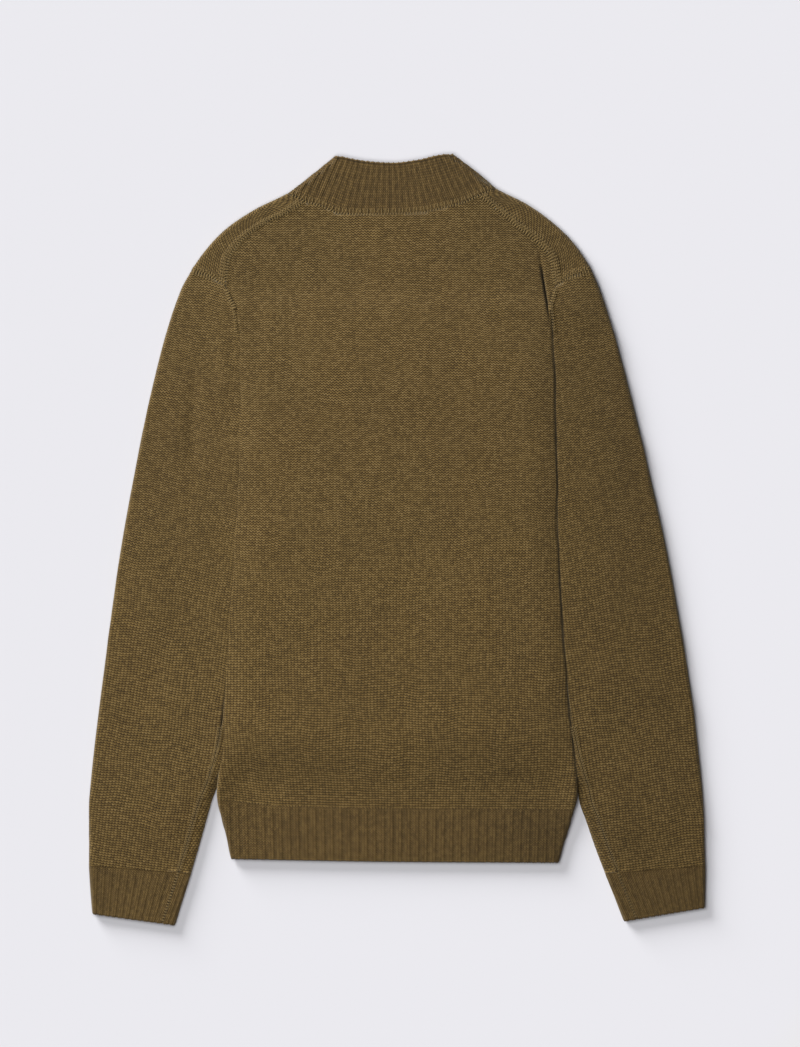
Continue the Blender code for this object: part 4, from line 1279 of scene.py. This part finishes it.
def make_collar():
    shares = np.linspace(COLLAR_START, 1.0 - RIB_WALL / 2.0 / COLLAR_WIDTH, round(COLLAR_WIDTH / RIB_ROW) + 1)
    rib = np.arange(-HALF_COLLAR_RIBS * RIB_COLUMNS, HALF_COLLAR_RIBS * RIB_COLUMNS + 1) / RIB_COLUMNS
    on_back = slice(len(CURVE), -len(CURVE))
    place, facing, flat = [], [], []
    for share in shares:
        row = collar_row(share)
        walked = walked_along(row)
        middle = np.interp(COLLAR_GROOVE_X, row[on_back, 0], walked[on_back])
        pitch = COLLAR_RIB.pitch + share * (COLLAR_TOP_PITCH - COLLAR_RIB.pitch)
        wanted = np.clip(middle + rib * pitch, 0.0, walked[-1])
        laid = read_line(row, walked, wanted)
        place.append(laid[:, :3])
        facing.append(laid[:, 3:])
        flat.append(stack((wanted - middle) / pitch * COLLAR_RIB.pitch, share * COLLAR_WIDTH))
    skin = make_skin(np.array(place), np.array(facing), np.array(flat))
    share = shares[:, None]
    bend = ease(share / COLLAR_RIB.bend_in) * ease((1.0 - share) / COLLAR_RIB.bend_out)
    skin = knit_ribs(skin, share, COLLAR_RIB, bend, (0.0, -1.0, 0.0))
    scallop = COLLAR_RIB.scallop * skin.hollow[-1:] * ease((share - COLLAR_RIB.scallop_start) / SCALLOP_RUN)
    skin.place[..., 1] -= scallop
    skin = finish_first(finish_edge(skin, welt(COLLAR_INSIDE)), SEAM_EDGE)
    return make_cloth("collar_cloth", "rib", skin)


# Finishes

class Pattern:
    """A value that varies over the cloth. Sums of patterns become Math nodes."""

    def __init__(self, tree, socket):
        self.tree = tree
        self.socket = socket

    def work(self, operation, *others):
        node = self.tree.nodes.new("ShaderNodeMath")
        node.operation = operation
        self.tree.links.new(self.socket, node.inputs[0])
        for place, other in enumerate(others, start=1):
            if isinstance(other, Pattern):
                self.tree.links.new(other.socket, node.inputs[place])
            else:
                node.inputs[place].default_value = other
        return Pattern(self.tree, node.outputs["Value"])

    def __add__(self, other):
        return self.work("ADD", other)

    def __sub__(self, other):
        return self.work("SUBTRACT", other)

    def __mul__(self, other):
        return self.work("MULTIPLY", other)

    def __truediv__(self, other):
        return self.work("DIVIDE", other)

    def less_from(self, total):
        return (self * -1.0) + total

    def repeat(self):
        return self.work("FRACT")

    def whole(self):
        return self.work("FLOOR")

    def size(self):
        return self.work("ABSOLUTE")

    def wave(self):
        """Half of a cosine wave, 1 at whole numbers and 0 between them."""
        return (self * (2.0 * math.pi)).work("COSINE") * 0.5 + 0.5

    def between(self, low, high):
        return self.work("MAXIMUM", low).work("MINIMUM", high)


def add_node(tree, kind, **values):
    """Adds a node and sets its named inputs, linking those that come from another node."""
    node = tree.nodes.new(kind)
    for name, value in values.items():
        place = node.inputs[name.replace("_", " ")]
        if isinstance(value, Pattern):
            tree.links.new(value.socket, place)
        elif isinstance(value, bpy.types.NodeSocket):
            tree.links.new(value, place)
        else:
            place.default_value = value
    return node


def read_attribute(tree, name):
    node = tree.nodes.new("ShaderNodeAttribute")
    node.attribute_name = name
    return Pattern(tree, node.outputs["Fac"])


def noise(tree, where, cell, detail=2.0):
    """Soft random pattern about 0, whose cells are a number of metres wide."""
    node = add_node(tree, "ShaderNodeTexNoise", Vector=where, Scale=1.0 / cell, Detail=detail)
    return Pattern(tree, node.outputs["Factor" if "Factor" in node.outputs else "Fac"]) - 0.5


def speck(tree, *parts):
    """Random value from 0 to 1 for each stitch."""
    joined = add_node(tree, "ShaderNodeCombineXYZ")
    for place, part in enumerate(parts):
        tree.links.new(part.socket, joined.inputs[place])
    node = add_node(tree, "ShaderNodeTexWhiteNoise", Vector=joined.outputs["Vector"])
    return Pattern(tree, node.outputs["Value"])


def empty_material(name):
    """A material with no nodes, its tree, and the node of its places."""
    material = bpy.data.materials.new(name)
    material.use_nodes = True
    material.node_tree.nodes.clear()
    return material, material.node_tree, add_node(material.node_tree, "ShaderNodeTexCoord").outputs


def wool_surface(tree, colour, height, strength, distance):
    """Soft, dull wool of a colour, with its stitches or fibres as bump."""
    bump = add_node(tree, "ShaderNodeBump", Height=height, Strength=strength, Distance=distance)
    wool = add_node(tree, "ShaderNodeBsdfPrincipled", Base_Color=colour, Normal=bump.outputs["Normal"],
                    Roughness=0.95, Sheen_Weight=0.2, Sheen_Roughness=0.6, Sheen_Tint=SHEEN,
                    Specular_IOR_Level=0.12)
    out = add_node(tree, "ShaderNodeOutputMaterial", Surface=wool.outputs["BSDF"])
    out.is_active_output = True


def plain_stitches(tree, across, along, wander):
    """Stockinette, whose stitches are drawn whole: their height, and the wale and course they lie in."""
    wale = (across + wander * 1.2) / WALE
    off_middle = (wale.repeat() * 2.0 - 1.0).size()
    pull = read_attribute(tree, "stretch")
    slope = pull * pull * pull * -STITCH_SLOPE_LOSS + STITCH_SLOPE
    course = along / COURSE - off_middle * slope
    leg = (course + 0.5).wave()
    edge = (off_middle * 1.54 - 0.54).between(0.0, 1.0)
    wale_side = edge * (pull * -0.29 - 0.12) + 1.0
    height = (leg * (pull * -0.26 + 0.81) + pull * 0.15 + 0.15) * wale_side * (pull * 0.05 + 0.6)
    return height, wale.whole(), course.whole()


def rib_stitches(pitch, across, along, hollow):
    """Stitches of a 2x2 rib, whose slants are in the cloth's rows, so that courses run straight."""
    wale = across * 3.0 / pitch + 0.5
    course = along / COURSE + 0.5
    off_middle = (wale.repeat() * 2.0 - 1.0).size()
    # rib stitches lower and darker in the grooves: bump and painted shade
    height = (course.wave() * 0.62 + 0.38) * (off_middle.less_from(1.0) * 0.3 + 0.7) * (hollow * -0.12 + 1.0)
    return height, wale.whole(), (course + 0.5).whole()


def yarn_material(yarn, rib=None):
    """Knitted yarn: stockinette, or the ribs that are given."""
    material, tree, places = empty_material(yarn.name)
    flat = add_node(tree, "ShaderNodeSeparateXYZ", Vector=places["UV"])
    body = places["Object"]
    across = Pattern(tree, flat.outputs["X"]) / MM
    along = Pattern(tree, flat.outputs["Y"]) / MM
    drift = noise(tree, body, DRIFT_CELL)
    hollow = read_attribute(tree, "hollow")
    if rib is None:
        wander = noise(tree, body, WANDER_CELL)
        height, wale, course = plain_stitches(tree, across, along + drift * 1.6, wander)
    else:
        height, wale, course = rib_stitches(rib.pitch, across, along + drift * 1.5, hollow)
    stitch = speck(tree, wale, course)
    fibre = noise(tree, body, FIBRE_CELL, 4.0)
    fleck = noise(tree, body, FLECK_CELL)
    cloud = noise(tree, body, CLOUD_CELL)
    # Shade from the stitch's height, read into colours: painted shade in the hollows and painted light on the
    # tops, over the yarn's own random flecks
    shade = (height * ((stitch - 0.5) * 0.4 + 0.95) + fibre * 0.25 + fleck * 0.25) * yarn.gain - yarn.drop
    ramp = add_node(tree, "ShaderNodeValToRGB", Fac=shade)
    marks = ramp.color_ramp.elements
    marks[0].color, marks[1].color = yarn.colours[0], yarn.colours[2]
    marks.new(MIDDLE_COLOUR_AT).color = yarn.colours[1]
    # The yarn's own random cloud, times the painted shade in hollows and the painted light and shade spots
    bright = (cloud * 0.22 + 1.0) * (hollow * -GROOVE_PAINTED_SHADE + 1.0) * read_attribute(tree, "painted_light_factor")
    scaled = add_node(tree, "ShaderNodeVectorMath")
    scaled.operation = "SCALE"
    tree.links.new(ramp.outputs["Color"], scaled.inputs[0])
    tree.links.new(bright.socket, scaled.inputs["Scale"])
    wool_surface(tree, scaled.outputs["Vector"], height * 0.55 + fibre * 0.35, 0.6, 0.0011)
    return material


def thread_material():
    """The same yarn where single threads show."""
    material, tree, places = empty_material("seam_yarn")
    fibre = noise(tree, places["Object"], FIBRE_CELL, 4.0)
    cloud = noise(tree, places["Object"], THREAD_CLOUD_CELL)
    mixed = add_node(tree, "ShaderNodeMix")
    mixed.data_type = "RGBA"
    mixed.clamp_factor = True
    tree.links.new((fibre * 0.8 + cloud * 0.8 + 0.5).socket, mixed.inputs[0])
    mixed.inputs[6].default_value = THREAD_DEEP
    mixed.inputs[7].default_value = THREAD_LIT
    wool_surface(tree, mixed.outputs[2], fibre, 0.5, 0.0006)
    return material


# Threads of the seams

Thread = namedtuple("Thread", "place along facing length width height")


def even_steps(line, pitch):
    """Points at an even pitch along a line of points, with the direction of the line at each."""
    walked = walked_along(line)
    at = np.arange(pitch / 2.0, walked[-1], pitch)
    ahead, behind = read_line(line, walked, at + 1.0), read_line(line, walked, at - 1.0)
    return read_line(line, walked, at), unit(ahead - behind)


def turned_by(direction, angle):
    """Turns a level direction by an angle."""
    return direction * math.cos(angle) + np.cross(UP, direction) * math.sin(angle)


def bars(line, kind):
    """Threads that cross a seam."""
    points, along = even_steps(line, kind.pitch)
    size = (kind.length, kind.width, kind.height)
    return [Thread(point, np.cross(UP, way), UP, *size) for point, way in zip(points, along)]


def chain(line, kind):
    """A column of knit stitches: two slanted legs at each step."""
    points, along = even_steps(line, kind.pitch)
    size = (LEG_LENGTH * kind.size, LEG_WIDTH * kind.size, LEG_HEIGHT * kind.size)
    threads = []
    for point, way in zip(points, along):
        across = np.cross(UP, way)
        for hand in (-1.0, 1.0):
            leg = turned_by(way, -hand * LEG_SLANT)
            threads.append(Thread(point + across * hand * kind.spread, leg, UP, *size))
    return threads


def row_threads(line, row):
    """Threads of one row beside a seam, whose line is given for offsets and heights."""
    make = chain if isinstance(row.threads, Chain) else bars
    return make(line(row.offset, row.height), row.threads)


def seam_threads(line, rows):
    return [thread for row in rows for thread in row_threads(line, row)]


def thread_placing(thread):
    """Turn, size and place of one thread, whose length runs along a ball's axis."""
    along = Vector(thread.along)
    facing = Vector(thread.facing)
    facing = (facing - along * facing.dot(along)).normalized()
    across = facing.cross(along)
    turn = Matrix((across, facing, along)).transposed().to_4x4()
    size = Matrix.Diagonal((thread.width * MM / 2.0, thread.height * MM / 2.0, thread.length * MM / 2.0, 1.0))
    place = Matrix.Translation((Vector(thread.place) - Vector((0.0, MIDDLE_Y, 0.0))) * MM)
    return place @ turn @ size


def sew(name, threads, material):
    """Makes the threads of a seam one trim piece, a handful at a time."""
    seam = bmesh.new()
    handful_mesh = bpy.data.meshes.new("handful")
    for start in range(0, len(threads), HANDFUL):
        handful = bmesh.new()
        for thread in threads[start:start + HANDFUL]:
            bmesh.ops.create_uvsphere(handful, u_segments=THREAD_SIDES, v_segments=THREAD_RINGS, radius=1.0,
                                      matrix=thread_placing(thread))
        handful.to_mesh(handful_mesh)
        handful.free()
        seam.from_mesh(handful_mesh)
    bpy.data.meshes.remove(handful_mesh)
    trim = make_object(name, seam)
    trim.data.materials.append(material)
    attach(trim, "root")
    return trim


def raised(points, height):
    """Plan points, given as signed x and y, at a height."""
    return np.column_stack([points, np.broadcast_to(height, len(points))])


def shoulder_line(side, offset, height):
    """Line beside the shoulder seam, an offset towards the outline."""
    seam = shoulder_seam(side, SHOULDER_THREADS)
    towards = unit(shoulder_turn(side, SHOULDER_THREADS) - seam)
    return raised((seam + towards * offset) * (SIDES[side], 1.0), height)


def cap_line(side, offset, height):
    """Line beside the cap seam on the back, an offset towards the shoulder."""
    outer, inner = cap_ends(side)
    across = unit(inner - outer)
    up = np.array([-across[1], across[0]])
    up = up * math.copysign(1.0, up[1])
    plan = outer + CAP_THREADS[:, None] * (inner - outer) + up * offset
    line = raised(plan * (SIDES[side], 1.0), height)
    line[:, 1] += cap_bow(side, line)
    return line


def armhole_line(side, offset, rise):
    """Line down the sleeve's edge from the cap seam, an offset outside the body's fold."""
    _, start = to_sleeve(*(cap_ends(side)[1] - (0.0, ARMHOLE_START)))
    _, top = to_sleeve(*cap_ends(side)[0])
    up = np.linspace(start, start - ARMHOLE_RUN, ARMHOLE_POINTS)
    ring = sleeve_ring(side, up)
    wide = ring.fold + offset
    _, z, _ = sleeve_point(side, ring, wide, up, top, up[-1] - ARMHOLE_CROWN_RUN)
    out, y = from_sleeve(wide, up)
    return stack(SIDES[side] * out, y, z + rise)


def underarm_line(side, offset, rise):
    """Line beside the underarm seam, on the sleeve's upper layer."""
    _, top = to_sleeve(edge_corner(side, SEAM_SHOWS_FROM)[0], UNDERARM_THREADS_Y)
    _, bottom = to_sleeve(*edge_corner(side, -1))
    up = np.linspace(top, bottom + 1.0, UNDERARM_POINTS)
    ring = sleeve_ring(side, up)
    seam = ring_limits(ring)[0] - SEAM_INSET
    wide, z, _ = sleeve_point(side, ring, seam + offset, up, top + CROWN_TO_CUFF, bottom)
    out, y = from_sleeve(wide, up)
    return stack(SIDES[side] * out, y, z + rise)


def cuff_line(side, offset, height):
    """Line of the underarm seam down the cuff."""
    start, end = edge_corner(side, -1), np.array(CUFF_ENDS[side])
    inset = CUFF_HEIGHT / 2.0 + UNDERARM_SEAM_INSET + SEAM_GAP / 2.0 + offset
    outwards = unit(rim_corner(side, CUFF_RIM) - start)
    plan = start + CUFF_THREADS[:, None] * (end - start) + outwards * inset
    return raised(plan * (SIDES[side], 1.0), height)


def collar_line(offset, height):
    """Line beside the seam between collar and back."""
    return stack(COLLAR_THREADS_X, neck_seam_y(COLLAR_THREADS_X) + offset, height)


# Stage

def fall(lamp, x=0.0, y=0.0):
    """How a ball lamp lights the floor at a point, up to a factor."""
    return lamp.place[2] / math.dist(lamp.place, (x, y, 0.0)) ** 3


def pale_floor():
    """A pale floor that is lighter where less light falls on it, as a retouched studio backdrop is."""
    material = bpy.data.materials.new("pale_floor")
    material.use_nodes = True
    tree = material.node_tree
    shader = tree.nodes["Principled BSDF"]
    shader.inputs["Base Color"].default_value = FLOOR_LIGHTNESS + (1.0,)
    shader.inputs["Roughness"].default_value = 1.0
    shader.inputs["Specular IOR Level"].default_value = 0.0
    places = add_node(tree, "ShaderNodeTexCoord").outputs["Object"]
    split = add_node(tree, "ShaderNodeSeparateXYZ", Vector=places)
    x, y = Pattern(tree, split.outputs["X"]), Pattern(tree, split.outputs["Y"])
    parts = []
    for lamp in LAMPS:
        dx, dy = x - lamp.place[0], y - lamp.place[1]
        far = (dx * dx + dy * dy + lamp.place[2] ** 2).work("POWER", 1.5)
        parts.append((far * 0.0 + lamp.share * lamp.place[2] / fall(lamp)) / far)
    light = sum(parts[1:], parts[0])
    lift = (light * 0.0 + 1.0) / (light + SKY_SHARE)
    colour = add_node(tree, "ShaderNodeCombineXYZ")
    for place, part in enumerate(FLOOR_LIGHTNESS):
        tree.links.new((lift * part).work("MINIMUM", FLOOR_LIGHTEST).socket, colour.inputs[place])
    tree.links.new(colour.outputs["Vector"], shader.inputs["Base Color"])
    return material


def set_stage():
    bm = bmesh.new()
    bmesh.ops.create_grid(bm, x_segments=1, y_segments=1, size=FLOOR_SIZE / 2.0)
    bmesh.ops.translate(bm, verts=bm.verts, vec=(0.0, 0.0, -FLOOR_DROP))
    floor = make_object("floor", bm)
    floor.data.materials.append(pale_floor())
    for lamp in LAMPS:
        light = bpy.data.lights.new(lamp.name, "POINT")
        light.shadow_soft_size = lamp.radius
        light.use_soft_falloff = False
        light.energy = lamp.share * DAYLIGHT * 4.0 * math.pi / fall(lamp)
        ball = bpy.data.objects.new(lamp.name, light)
        ball.location = lamp.place
        bpy.context.collection.objects.link(ball)
    world = bpy.data.worlds.new("studio")
    world.use_nodes = True
    world.node_tree.nodes["Background"].inputs["Color"].default_value = (1.0, 1.0, 1.0, 1.0)
    world.node_tree.nodes["Background"].inputs["Strength"].default_value = SKY_SHARE * DAYLIGHT / math.pi
    bpy.context.scene.world = world
    bpy.context.scene.view_settings.view_transform = "Standard"
    camera_data = bpy.data.cameras.new("camera")
    camera_data.lens = CAMERA_LENS
    camera_data.sensor_fit = "AUTO"
    camera_data.sensor_width = CAMERA_SENSOR
    camera = bpy.data.objects.new("camera", camera_data)
    camera.location = CAMERA_PLACE
    bpy.context.collection.objects.link(camera)
    bpy.context.scene.camera = camera


def lay(cloth, node, material, trims=()):
    """Puts a piece of cloth in the place of its CAD node."""
    cloth.piece.data.materials.append(material)
    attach(cloth.piece, "root")
    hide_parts(node)


def make_all():
    stockinette = yarn_material(PLAIN_YARN)
    hem_yarn = yarn_material(HEM_YARN, HEM_RIB)
    cuff_yarn = yarn_material(CUFF_YARN, CUFF_RIB)
    collar_yarn = yarn_material(COLLAR_YARN, COLLAR_RIB)
    thread = thread_material()
    lay(make_back(), "back", stockinette)
    lay(make_hem_rib_back(), "hem_rib_back", hem_yarn)
    neck = seam_threads(collar_line, COLLAR_ROWS)
    lay(make_collar(), "collar", collar_yarn, [sew("collar_seam", neck, thread)])
    for side in SIDES:
        shoulder = seam_threads(partial(shoulder_line, side), SHOULDER_ROWS)
        lay(make_front(side), "front_" + side, stockinette,
            [sew("shoulder_seam_" + side, shoulder, thread)])
        lay(make_hem_rib_front(side), "hem_rib_front_" + side, hem_yarn)
        lay(make_band(side), "band_" + side, stockinette)
        armhole = partial(armhole_line, side)
        armhole_bars = armhole(ARMHOLE_BARS_ROW.offset, ARMHOLE_BARS_ROW.height)[:ARMHOLE_BARS_POINTS]
        cap = (seam_threads(partial(cap_line, side), CAP_ROWS) + row_threads(armhole, ARMHOLE_CHAIN_ROW[side])
               + bars(armhole_bars, ARMHOLE_BARS_ROW.threads))
        underarm = seam_threads(partial(underarm_line, side), UNDERARM_ROWS)
        lay(make_sleeve(side), "sleeve_" + side, stockinette,
            [sew("cap_seam_" + side, cap, thread),
             sew("underarm_seam_" + side, underarm, thread)])
        cuff = seam_threads(partial(cuff_line, side), CUFF_ROWS)
        lay(make_cuff(side), "cuff_" + side, cuff_yarn, [sew("cuff_seam_" + side, cuff, thread)])


set_stage()
make_all()
